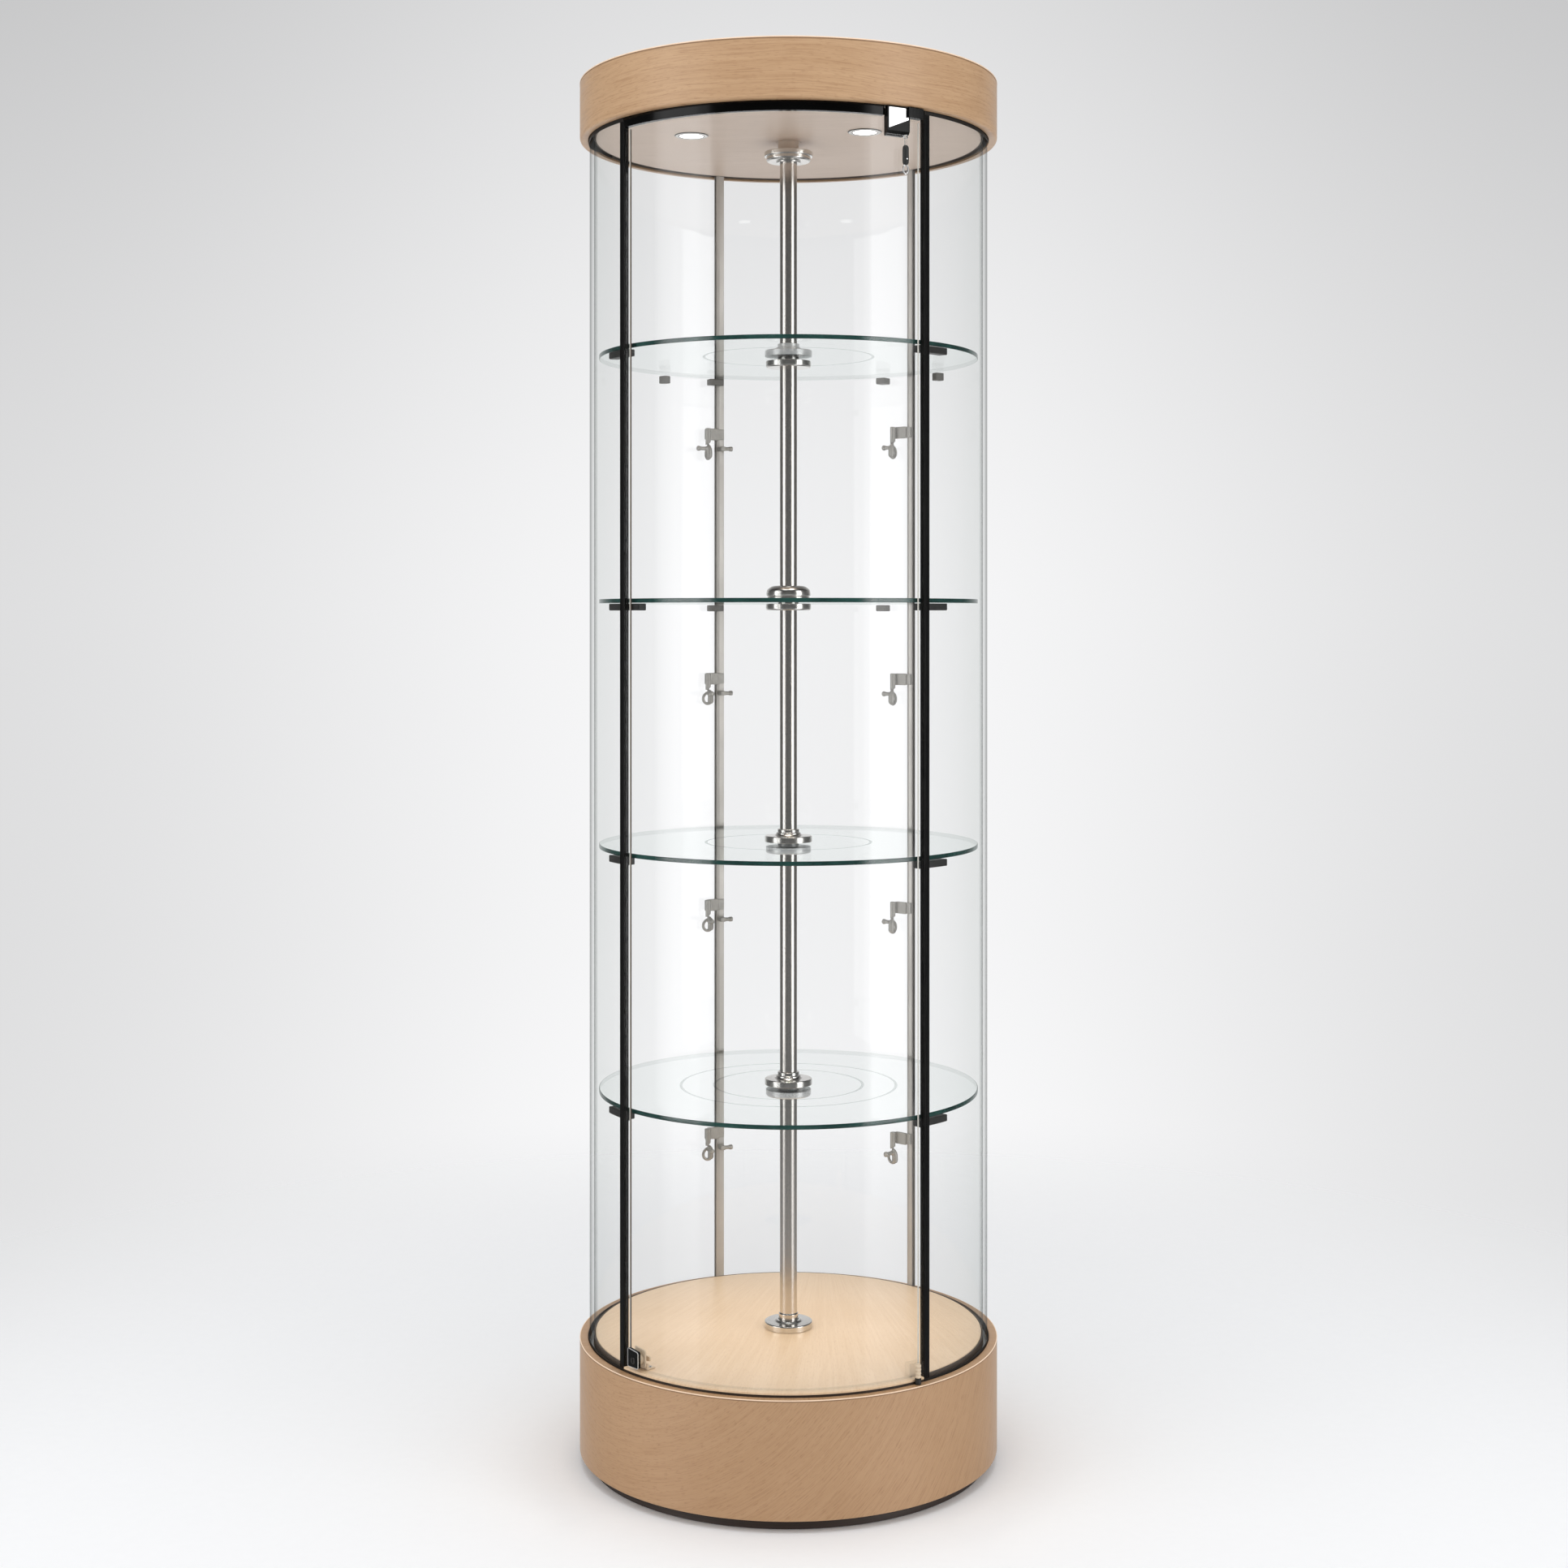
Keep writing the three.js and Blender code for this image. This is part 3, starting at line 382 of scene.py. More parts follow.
class Look:
    """The nodes of a material or a world, and short calls to build them."""

    def __init__(self, name, kind="Material"):
        owners = bpy.data.worlds if kind == "World" else bpy.data.materials
        self.made = owners.new(name)
        self.made.use_nodes = True
        self.tree = self.made.node_tree
        self.tree.nodes.clear()
        self.out = self.tree.nodes.new("ShaderNodeOutput" + kind)

    def node(self, kind, ins=(), output=0, **settings):
        """A new node with its inputs and settings, given as the value of one output."""
        made = self.tree.nodes.new("ShaderNode" + kind)
        for key, value in settings.items():
            setattr(made, key, value)
        for key, value in dict(ins).items():
            if isinstance(value, Value):
                self.tree.links.new(value.socket, made.inputs[key])
            else:
                made.inputs[key].default_value = value
        return Value(self, made.outputs[output])

    def math(self, operation, a, b=0.0, clamp=False):
        return self.node("Math", {0: a, 1: b}, operation=operation, use_clamp=clamp)

    def larger(self, a, b):
        return self.math("MAXIMUM", a, b)

    def length(self, a, b):
        return self.math("SQRT", a * a + b * b)

    def ray(self, kind):
        return self.node("LightPath", output=f"Is {kind} Ray")

    def place(self, output="Object"):
        """A point on the object, or the view direction in a world, as a whole and as X, Y and Z."""
        where = self.node("TexCoord", output=output)
        return where, *(self.node("SeparateXYZ", {0: where}, axis) for axis in "XYZ")

    def vector(self, x, y, z=0.0):
        return self.node("CombineXYZ", {0: x, 1: y, 2: z})

    def noise(self, where, scale=1.0, detail=2.0, roughness=0.5):
        ins = {"Vector": where, "Scale": scale, "Detail": detail, "Roughness": roughness}
        return self.node("TexNoise", ins, "Fac")

    def span(self, value, low, high, to_low=0.0, to_high=1.0):
        """Smooth steps from to_low to to_high while value goes from low to high."""
        ins = {0: value, 1: low, 2: high, 3: to_low, 4: to_high}
        return self.node("MapRange", ins, interpolation_type="SMOOTHSTEP")

    def blend(self, share, a, b):
        return self.node("Mix", {0: share, 6: a, 7: b}, 2, data_type="RGBA", blend_type="MIX")

    def mixed(self, share, a, b):
        return self.node("MixShader", {0: share, 1: a, 2: b})

    def bump(self, height, strength, distance):
        return self.node("Bump", {"Height": height, "Strength": strength, "Distance": distance})

    def clear(self, colour):
        return self.node("BsdfTransparent", {"Color": colour})

    def shader(self, **ins):
        names = {key.replace("_", " ").title().replace("Ior", "IOR"): value for key, value in ins.items()}
        return self.node("BsdfPrincipled", names)

    def finish(self, surface, volume=None):
        self.tree.links.new(surface.socket, self.out.inputs["Surface"])
        if volume is not None:
            self.tree.links.new(volume.socket, self.out.inputs["Volume"])
        return self.made


def grain_course(look, way, x, y, z):
    """Coordinates in metres along and across the grain: round a drum, in arcs, as a fan or straight."""
    around = look.math("ARCTAN2", x, y * -1.0) * (DRUM_R * MM)
    if way == "around":
        return around, z + look.noise(look.vector(around, z), 3.0, 1.0) * 0.03
    if way == "arcs":
        right, down = around + 0.24, 0.42 - z
        return look.math("ARCTAN2", right, down) * 0.4, look.length(right, down)
    if way == "fan":
        back = 0.55 - y
        return look.length(x, back), look.math("ARCTAN2", x, back) * 0.6
    return x, y


def veneer(name, pale, mid, dark, way, rough, figure, lines, specks, relief_share=0.16):
    """Lacquered maple veneer. way says how the grain runs over the surface."""
    look = Look(name)
    where, x, y, z = look.place()
    along, across = grain_course(look, way, x, y, z)
    across = across + (look.noise(where, 4.0, 2.0) - 0.5) * 0.01
    bands = look.noise(look.vector(along * 3.5, across * 150.0), 1.0, 4.0, 0.6)
    fibres = look.noise(look.vector(along * 16.0, across * 480.0), 1.0, 2.0, 0.6)
    flecks = look.noise(look.vector(along * 90.0, across * 620.0, 7.0), 1.0, 1.0, 0.4)
    share = bands * 0.75 + look.noise(where, 7.0, 3.0) * 0.45
    figured = look.span(share, 0.42, 0.78, 0.5 - 0.5 * figure, 0.5 + 0.5 * figure)
    colour = look.blend(figured, lin(*mid), lin(*pale))
    colour = look.blend(look.span(fibres, 0.46, 0.72) * lines, colour, lin(*dark))
    colour = look.blend(look.span(flecks, 0.58, 0.7) * specks, colour, lin(*dark))
    surface = look.shader(
        base_color=colour,
        roughness=look.span(bands, 0.3, 0.7, rough - 0.3 * relief_share, rough + 0.4 * relief_share),
        coat_weight=0.12,
        coat_roughness=0.28,
        normal=look.bump(fibres * 0.7 + flecks * -0.6, relief_share, 0.0003),
    )
    return look.finish(surface)


def worked(name, base, other, rough, metallic=0.0, way="even", scale=400.0, relief=0.05, specular=0.5):
    """A metal, plastic or rubber with fine uneven colour, gloss and relief. way: direction of its marks."""
    look = Look(name)
    where, x, y, z = look.place()
    if way == "turned":
        marks = look.length(x, y) * scale, z * scale, look.math("ARCTAN2", x, y)
    else:
        marks = x * scale, y * scale, z * (3.0 if way == "upright" else scale)
    fine = look.noise(look.vector(*marks), 1.0, 3.0, 0.6)
    uneven = fine * 0.6 + look.noise(where, 14.0, 3.0) * 0.4
    surface = look.shader(
        base_color=look.blend(look.span(uneven, 0.35, 0.65) * 0.5, lin(*base), lin(*other)),
        roughness=look.span(uneven, 0.3, 0.7, rough * 0.8, rough * 1.25),
        metallic=metallic,
        specular_ior_level=specular,
        normal=look.bump(fine, relief, 0.0002),
    )
    return look.finish(surface)


def pane(name, clear, side, gloss, mirror_share, edge=0.0):
    """Thin clear glass: what is behind shows through, and more light is sent back at a flat angle."""
    look = Look(name)
    slant = look.node("LayerWeight", {"Blend": 0.5}, "Facing")
    film = look.noise(look.place()[0], 2.5, 4.0, 0.6)
    tint = look.blend(slant**2.2 * look.span(film, 0.2, 0.8, 0.85, 1.0), (*clear, 1), (*side, 1))
    tint = look.blend(look.span(slant, 0.78, 0.92) * edge, tint, (0.04, 0.05, 0.05, 1))
    mirror = look.node("BsdfGlossy", {"Color": (1, 1, 1, 1), "Roughness": gloss})
    return look.finish(look.mixed(slant**5.0 * mirror_share + 0.02, look.clear(tint), mirror))


def rim_glass(name, deep, lit):
    """The cut edge of a clear sheet: dark green from outside, clear where it is seen from within."""
    look = Look(name)
    drift = look.span(look.noise(look.place()[0], 18.0, 3.0), 0.3, 0.7)
    colour = look.blend(drift, lin(*deep), lin(*lit))
    surface = look.shader(base_color=colour, roughness=0.1, specular_ior_level=0.6)
    share = look.larger(look.node("NewGeometry", output="Backfacing"), look.ray("Shadow") * 0.8)
    return look.finish(look.mixed(share, surface, look.clear((0.86, 0.875, 0.87, 1))))


def solid_glass(name, colour, depth_colour, density, rough):
    """Thick glass or plastic that bends light and is tinted in its depth. Lamps shine through it."""
    look = Look(name)
    film = look.span(look.noise(look.place()[0], 6.0, 4.0, 0.6), 0.3, 0.7)
    colour = look.blend(film, (*colour, 1), (1, 1, 1, 1))
    surface = look.shader(base_color=colour, roughness=rough, ior=1.5, transmission_weight=1.0)
    surface = look.mixed(look.ray("Shadow"), surface, look.clear((0.97, 0.985, 0.98, 1)))
    depth = look.node("VolumeAbsorption", {"Color": (*depth_colour, 1), "Density": density})
    return look.finish(surface, depth)


def glowing(name):
    """The lit diffuser of a downlight, faintly grained."""
    look = Look(name)
    grain = look.noise(look.place()[0], 260.0, 2.0)
    surface = look.shader(
        base_color=look.blend(grain, (0.9, 0.9, 0.88, 1), (1, 1, 1, 1)),
        roughness=0.4,
        emission_color=(1.0, 0.98, 0.95, 1),
        emission_strength=3.0,
    )
    return look.finish(surface)


CANOPY_WOOD = veneer(
    "canopy maple", (201, 164, 126), (184, 146, 109), (146, 102, 64), "around", 0.4, 0.6, 0.34, 0.26
)
BASE_WOOD = veneer(
    "base maple", (190, 152, 115), (180, 141, 103), (146, 104, 68), "arcs", 0.42, 0.6, 0.26, 0.34
)
DECK_WOOD = veneer(
    "deck maple", (241, 213, 180), (232, 201, 164), (204, 164, 122), "fan", 0.34, 0.8, 0.14, 0.24, 0.02
)
CEILING_WOOD = veneer(
    "ceiling maple", (216, 195, 178), (205, 182, 163), (176, 152, 130), "across", 0.45, 0.7, 0.25, 0.15, 0.05
)
# Painted highlight: the pale strip along the upper arris of each drum, where the edge catches the light
PAINTED_HIGHLIGHT_STRIP = worked("pale rim strip with painted highlight", (250, 222, 194), (242, 210, 180), 0.34, scale=700, relief=0.1)
# Painted shade: the dark line under the pale strip, where the rounded edge turns away from the light
PAINTED_SHADE_LINE = worked("painted shade line", (152, 118, 86), (136, 104, 74), 0.5, scale=700, relief=0.1)
PLINTH = worked("dark laminate", (58, 44, 36), (44, 33, 27), 0.5, way="turned", scale=500, relief=0.1)
BOARD = worked("fibre board", (196, 172, 140), (176, 150, 118), 0.75, scale=700, relief=0.25)
PANE = pane("clear curved glass", (0.999, 1.0, 1.0), (0.925, 0.935, 0.93), 0.0, 0.06, 0.3)
PANE_EDGE = worked("ground glass edge", (206, 208, 206), (182, 186, 184), 0.18, scale=900, specular=0.8)
SHELF = pane("shelf glass", (0.992, 0.996, 0.995), (0.955, 0.972, 0.967), 0.0, 0.09)
RIM = rim_glass("green edge of the shelf glass", (16, 50, 46), (34, 74, 68))
GROOVE = pane("ground ring in the glass", (0.9, 0.915, 0.91), (0.6, 0.64, 0.63), 0.3, 0.05)
CLEAR_CLIP = pane("clear plastic clip", (0.985, 0.985, 0.98), (0.93, 0.93, 0.92), 0.0, 0.05)
CLEAR_PLASTIC = solid_glass("clear plastic", (0.97, 0.97, 0.96), (0.9, 0.92, 0.9), 4.0, 0.06)
LENS = glowing("lit diffuser")
BLACK = worked("black anodised metal", (8, 8, 8), (14, 14, 13), 0.26, 0.0, "upright", 900, 0.03, 0.2)
STRIP = worked("gloss black strip", (2, 2, 2), (5, 5, 4), 0.12, 0.0, "turned", 700, 0.01, 0.24)
GREY = worked("satin grey metal", (184, 180, 174), (164, 159, 153), 0.34, 0.45, "upright", 900, 0.08)
HOOK = worked("cast satin metal", (174, 171, 165), (148, 144, 138), 0.38, 0.45, "even", 500, 0.15)
STEEL = worked("turned steel", (232, 230, 226), (206, 203, 198), 0.2, 1.0, "turned", 2600, 0.08)
POLE = worked("brushed steel tube", (228, 224, 219), (208, 202, 196), 0.2, 1.0, "upright", 1500, 0.04)
CHROME = worked("polished chrome", (222, 222, 222), (204, 204, 206), 0.07, 1.0, "even", 300, 0.01)
MIRROR = worked("polished face", (244, 244, 244), (232, 232, 233), 0.05, 1.0, "even", 300, 0.005)
DARK_STEEL = worked("dark nickel", (92, 90, 88), (70, 68, 66), 0.16, 1.0, "even", 500, 0.03)
BEZEL = worked("pale chrome", (214, 210, 204), (192, 188, 182), 0.3, 0.4, "even", 400, 0.02)
# Partly painted sheen: satin metal whose pale colour stands in for the bright reflections of chrome
SHEEN_PAINTED_TRIM = worked("pale trim with painted sheen", (226, 226, 226), (206, 206, 206), 0.3, 0.35, "even", 500, 0.03)
RUBBER = worked("black rubber", (17, 17, 17), (30, 29, 28), 0.55, scale=900, relief=0.2)
LIP_GREY = worked("brown grey seal lip", (112, 100, 91), (92, 82, 74), 0.45, scale=900, relief=0.1)
# Painted shadow: a dark brown for the ring in the gap in front of the deck, which lies in shade
GAP_SHADOW_DARK = worked("painted shadow in the deck gap", (52, 42, 35), (38, 31, 26), 0.4, scale=900, relief=0.08)
PAD = worked("grey moulded plastic", (96, 94, 90), (120, 117, 112), 0.45, scale=1200, relief=0.15)
PLASTIC = worked("black moulded plastic", (38, 38, 37), (54, 53, 51), 0.45, scale=1200, relief=0.18)
BROWN = worked("brown moulded plastic", (96, 82, 72), (76, 64, 56), 0.4, scale=1200, relief=0.15)
BEIGE = worked("beige moulded plastic", (222, 202, 176), (208, 186, 158), 0.45, scale=900, relief=0.1)
PALE = worked("pale plastic", (228, 225, 216), (212, 208, 198), 0.42, scale=900, relief=0.12)
SLEEVE = worked("bearing sleeve", (206, 188, 170), (196, 176, 158), 0.4, scale=900, relief=0.1)


# Base and canopy
def steps_between(start, end, step):
    count = max(1, round((end - start) / step))
    return [start + (end - start) * i / count for i in range(count + 1)]


def screw_heads(places, way, radius):
    """Small domed screw heads."""
    heads = None
    for at in places:
        profile = [(0, 0), (radius, 0), (radius, radius * 0.16), (radius * 0.86, radius * 0.36)]
        profile += [(radius * 0.5, radius * 0.46), (radius * 0.2, radius * 0.48), (0, radius * 0.2)]
        head = lathe(profile, 20)
        aim_up(head, Vector(at), Vector(way))
        heads = join(heads, head)
    return heads


def tint_seal(seal):
    """The inner lip of a seal, and its rear part, are brown grey instead of black."""
    rear = 108
    for face in seal.faces:
        middle = face.calc_center_median()
        if middle.xy.length < GLASS_IN or abs(turned(middle)) > rear:
            face.material_index = 1


def painted_rim_light(name, top, highlight_height, line):
    """A pale strip along the upper edge of a drum, its colour a painted highlight on the arris, and below it
    a dark line of painted shade.
    """
    proud, gap = 0.1, 0.05
    strip = four_sided(DRUM_R - 1, DRUM_R + 0.2, top - highlight_height, top + proud, (0.1, 0.2, 0.5, 0.1))
    piece(name, lathe(strip, 240), PAINTED_HIGHLIGHT_STRIP)
    # A dark line of painted shade under the highlight strip
    strip = four_sided(DRUM_R - 0.6, DRUM_R + gap, top - highlight_height - line, top - highlight_height - gap, gap, 1)
    piece(name + "_line", lathe(strip, 240), PAINTED_SHADE_LINE)


def make_base():
    ledge, plinth_out = 262, DRUM_R - 15
    plinth_top, wall_low = packed("plinth_ring", 1, 2), packed("base_drum", 0, 2)
    ring = four_sided(ledge, plinth_out, 0.0, plinth_top, (0.5, 1.0, 0.6, 0.5))
    piece("plinth", lathe(ring), PLINTH, stands_for="plinth_ring")

    shelf_top = DECK_LOW - FIT
    shelf_low = shelf_top - 15
    profile = [
        (DRUM_IN, wall_low, 0.6), (DRUM_R, wall_low, 1.4), (DRUM_R, BASE_TOP, 1.0),
        (DRUM_IN, BASE_TOP, 0.9), (DRUM_IN, shelf_top, 0.5), (ledge, shelf_top, 0.5),
        (ledge, shelf_low, 0.5), (DRUM_IN, shelf_low, 0.5),
    ]
    wall = lathe(rounded(profile, 5), 240)
    wall = piece("base_wall", wall, BASE_WOOD, stands_for="base_drum")
    # Painted highlight along the base's top arris, with a line of painted shade below it
    painted_rim_light("base_painted_rim", BASE_TOP, 1.1, 1.5)

    edge = DOOR_HALF + 0.5
    outline = [tuple(spot(a, FILL_R, 0).xy) for a in steps_between(-edge, edge, 1.5)]
    outline += [tuple(spot(a, BOARD_R, 0).xy) for a in steps_between(edge, 360 - edge, 1.5)]
    deck = plate(outline, DECK_LOW, DECK_TOP, 0.9, 3)
    deck = piece("deck", deck, DECK_WOOD, stands_for="deck_panel")
    hole, overrun = 22.2, 5
    cut(deck, rod((0, 0, DECK_LOW - overrun), (0, 0, DECK_TOP + overrun), hole, 48, 0))
    # A dark ring that fills the gap between the deck's front edge and the drum: painted shadow in that gap
    strip = four_sided(FILL_R - 0.1, DRUM_IN - 0.05, BASE_TOP - 1.5, BASE_TOP + 2.9, 0.1, 1)
    strip = arc_bar(strip, -edge + 0.1, edge - 0.1, 1.0)
    piece("deck_gap_shadow", strip, GAP_SHADOW_DARK, weighted=False)

    lip_top, slot_low = BASE_TOP + 3, GLASS_LOW - FIT
    profile = [
        (SEAL_IN, DECK_LOW, 0.3), (FILL_R, DECK_LOW, 0.3), (FILL_R, lip_top, 0.5),
        (SEAL_SLOT_OUT, lip_top, 0.5), (SEAL_SLOT_OUT, slot_low, 0.2), (SEAL_SLOT_IN, slot_low, 0.2),
        (SEAL_SLOT_IN, DECK_TOP, 0.5), (SEAL_IN, DECK_TOP, 0.5),
    ]
    seal = arc_bar(rounded(profile, 2), SEAL_END, 360 - SEAL_END)
    tint_seal(seal)
    piece("base_seal", seal, [RUBBER, LIP_GREY], stands_for="base_glass_seal")
    make_inlet(wall)


def make_inlet(wall):
    """The mains inlet at the back, drawn at the front and turned round."""
    half, inner, rim = packed("power_inlet", 1, 0), packed("power_inlet", 0, 1), 3
    low, high = packed("power_inlet", 0, 2), packed("power_inlet", 1, 2)
    opening = box(-half - FIT, half + FIT, inner - 4, DRUM_R + 5, low - FIT, high + FIT, 0)
    opening.transform(upright(180))
    cut(wall, opening)
    mouth, sill, shoulder, crown, narrow = 19.5, 57.5, 76, 82, 14
    outline = [(-mouth, sill, 3), (mouth, sill, 3), (mouth, shoulder, 3), (narrow, crown, 2)]
    outline += [(-narrow, crown, 2), (-mouth, shoulder, 3)]
    body = box(-half, half, inner, DRUM_R - 0.4, low, high, 1.0)
    frame_bar = box(-half - rim, half + rim, DRUM_R - 0.8, DRUM_R + 0.6, low - 3.5, high + 3.5, 0.5)
    for name, made in (("mains_inlet", body), ("mains_inlet_rim", frame_bar)):
        socket = piece(name, made, PLASTIC, azimuth=180, stands_for="power_inlet")
        well = plate(rounded(outline), DRUM_R - 16, DRUM_R + 4, 0, turn=upright(180) @ STAND_UP)
        cut(socket, well)
    pins, pin_in, pin_out = None, inner + 9, inner + 22.5
    for across, level in ((-9, 66), (9, 66), (0, 73)):
        pins = box(across - 1, across + 1, pin_in, pin_out, level - 2.5, level + 2.5, 0.5, pins)
    piece("inlet_pins", pins, CHROME, azimuth=180)
    screws = screw_heads([(across, -DRUM_R - 0.4, 70) for across in (-23.5, 23.5)], (0, -1, 0), 2.6)
    piece("inlet_screws", screws, CHROME, azimuth=180)


def make_canopy():
    lid_low, lid_seat, top_in = CANOPY_TOP - 15, CANOPY_TOP - 15.3, DRUM_R - 6
    ledge, ledge_low, ledge_top = 262, CEILING_TOP + FIT, CEILING_TOP + FIT + 15
    profile = [
        (DRUM_IN, CANOPY_LOW, 0.9), (DRUM_R, CANOPY_LOW, 4.5), (DRUM_R, CANOPY_TOP, 1.0),
        (top_in, CANOPY_TOP, 0.6), (top_in, lid_seat, 0.4), (DRUM_IN, lid_seat, 0.4),
        (DRUM_IN, ledge_top, 0.4), (ledge, ledge_top, 0.4), (ledge, ledge_low, 0.4),
        (DRUM_IN, ledge_low, 0.4),
    ]
    wall = lathe(rounded(profile, 5), 240)
    piece("canopy_wall", wall, CANOPY_WOOD, stands_for="canopy_drum")
    # Painted highlight along the canopy's top arris, with a line of painted shade below it
    painted_rim_light("canopy_painted_rim", CANOPY_TOP, 1.5, 1.9)
    lid = lathe(four_sided(0, top_in - 0.6, lid_low, CANOPY_TOP, (0, 0.5, 1.0, 0)), 200)
    piece("canopy_top", lid, BOARD, stands_for="canopy_lid")
    screws = screw_heads([spot(30 + 60 * i, 275, CANOPY_TOP - 0.6) for i in range(6)], (0, 0, 1), 4.2)
    piece("canopy_top_screws", screws, STEEL)

    ceiling = lathe(four_sided(0, BOARD_R, CEILING_LOW, CEILING_TOP, (0, 0.9, 0.5, 0)), 200)
    ceiling = piece("ceiling", ceiling, CEILING_WOOD, stands_for="ceiling_panel")
    pole_hole, light_hole, under, over = 18.1, 19.3, CEILING_LOW - 11, CEILING_TOP + 11
    holes = [rod((0, 0, under), (0, 0, over), pole_hole, 40, 0)]
    for azimuth, radius in LIGHTS.values():
        holes.append(rod(spot(azimuth, radius, under), spot(azimuth, radius, over), light_hole, 40, 0))
    cut(ceiling, *holes)

    lip_low, slot_top, rear_lift, lift_from, lift_over = CANOPY_LOW - 5, GLASS_HIGH + FIT, 7.4, 84, 14
    profile = [
        (SEAL_IN, CEILING_LOW, 0.5), (SEAL_SLOT_IN, CEILING_LOW, 0.5), (SEAL_SLOT_IN, slot_top, 0.2),
        (SEAL_SLOT_OUT, slot_top, 0.2), (SEAL_SLOT_OUT, lip_low, 0.5), (FILL_R, lip_low, 0.5),
        (FILL_R, CEILING_TOP, 0.3), (SEAL_IN, CEILING_TOP, 0.3),
    ]
    seal = arc_bar(rounded(profile, 2), SEAL_END, 360 - SEAL_END)
    for v in seal.verts:
        past = abs(turned(v.co)) - lift_from
        if v.co.z < lip_low + 1 and past > 0:
            v.co.z += rear_lift * min(1, past / lift_over)
    tint_seal(seal)
    piece("canopy_seal", seal, [RUBBER, LIP_GREY], stands_for="canopy_glass_seal")

    end, notch, strip_top = SEAL_END - 0.25, 32.5, CEILING_TOP - FIT
    low = four_sided(SEAL_IN, FILL_R, DOOR_HIGH + 2, strip_top, (1.0, 1.2, 0.5, 0.5), 4)
    high = four_sided(SEAL_IN, FILL_R, CANOPY_LOW + 0.6, strip_top, 0.5, 2)
    strip = arc_bar(low, -end, notch, 1.0)
    strip = arc_bar(high, notch - 0.2, end, 1.0, strip)
    piece("head_strip", strip, STRIP, stands_for="door_head_strip")


def make_lights():
    lip = CEILING_LOW - FIT
    bezel_in, bezel_out, lens_out, throat, line_in = 16.9, 24, 16.6, 19, 22.9
    profile = [
        (bezel_in, lip - 0.9, 0.3), (bezel_out - 0.6, lip - 0.9, 0.5), (bezel_out, lip, 0.2),
        (throat, lip, 0.2), (throat, CEILING_TOP, 0.2), (bezel_in, CEILING_TOP, 0.2),
    ]
    inner_line = four_sided(bezel_in + 0.2, bezel_in + 1.6, lip - 1.2, lip - 0.8, 0.1, 1)
    outer_line = [(line_in, lip - 1.0, 0.1), (bezel_out, lip - 0.5, 0.1)]
    outer_line += [(bezel_out, lip, 0.1), (line_in, lip, 0.1)]
    dome = [(0, -1.8), (4, -1.7), (9, -1.5), (14, -1.1), (lens_out, -0.7), (lens_out, 1.8), (0, 1.8)]
    for side, (azimuth, radius) in LIGHTS.items():
        at = spot(azimuth, radius, 0).xy
        bezel = lathe(rounded(profile), 72, at)
        piece("light_bezel_" + side, bezel, BEZEL, stands_for="downlight_bezel_" + side)
        rings = lathe(rounded(outer_line, 1), 72, at, lathe(inner_line, 72, at))
        piece("light_bezel_line_" + side, rings, DARK_STEEL)
        lens = lathe([(r, lip + z) for r, z in dome], 60, at)
        piece("light_lens_" + side, lens, LENS, stands_for="downlight_lens_" + side)


# Glass
def pane_bar(low, high, start, end):
    """A curved pane. Its top and bottom rims take the second look."""
    edge = 0.7
    bar = arc_bar(four_sided(GLASS_IN, GLASS_OUT, low, high, edge, 1), start, end, 1.0)
    for face in bar.faces:
        level = face.calc_center_median().z
        if level < low + edge + 0.02 or level > high - edge - 0.02:
            face.material_index = 1
    return bar


def make_panes():
    for side, start, end in (("right", 47.05, 143.95), ("back", 144.65, 207.65), ("left", 209.1, 312.95)):
        bar = pane_bar(GLASS_LOW, GLASS_HIGH, start, end)
        node = "glass_panel_" + side
        piece("glass_" + side, bar, [PANE, PANE_EDGE], stands_for=node, weighted=False)
    door = pane_bar(DOOR_LOW, DOOR_HIGH, -DOOR_HALF, DOOR_HALF)
    piece("door_pane", door, [PANE, CLEAR_CLIP], "door", 0, "door_glass", weighted=False)
    sill_low, sill_high = DOOR_LOW - 0.8, DOOR_LOW + 0.6
    sill = four_sided(GLASS_IN - 0.7, GLASS_OUT + 0.7, sill_low, sill_high, (0.3, 0.3, 0.4, 0.4), 2)
    sill = arc_bar(sill, -39.2, 40.2, 1.0)
    piece("door_sill_strip", sill, CLEAR_CLIP, "door", weighted=False)
    light, dark = (0.05, 0.4), (0.4, 0.8)
    for side, sign in (("left", -1), ("right", 1)):
        strips = (("light", light, PALE), ("dark", dark, BROWN))
        for name, insets, look in strips if side == "left" else strips[:1]:
            ends = sorted(sign * (DOOR_HALF - inset) for inset in insets)
            strip = four_sided(GLASS_IN - 0.9, GLASS_IN - 0.1, DOOR_LOW + 1, DOOR_HIGH - 1, 0.2, 1)
            strip = arc_bar(strip, *ends, 0.2)
            piece(f"door_edge_{name}_{side}", strip, look, "door", weighted=False)


# Posts, steady blocks and hooks
def groove_points(half):
    """The slot for a pane in the +X side of a post."""
    gap, depth = 0.4, 3
    out, inn = -GLASS_OUT - gap, -GLASS_IN + gap
    return [(half, out, 0.1), (half - depth, out, 0.1), (half - depth, inn, 0.1), (half, inn, 0.1)]


def mirrored(points):
    return [(-x, y, edge) for x, y, edge in reversed(points)]


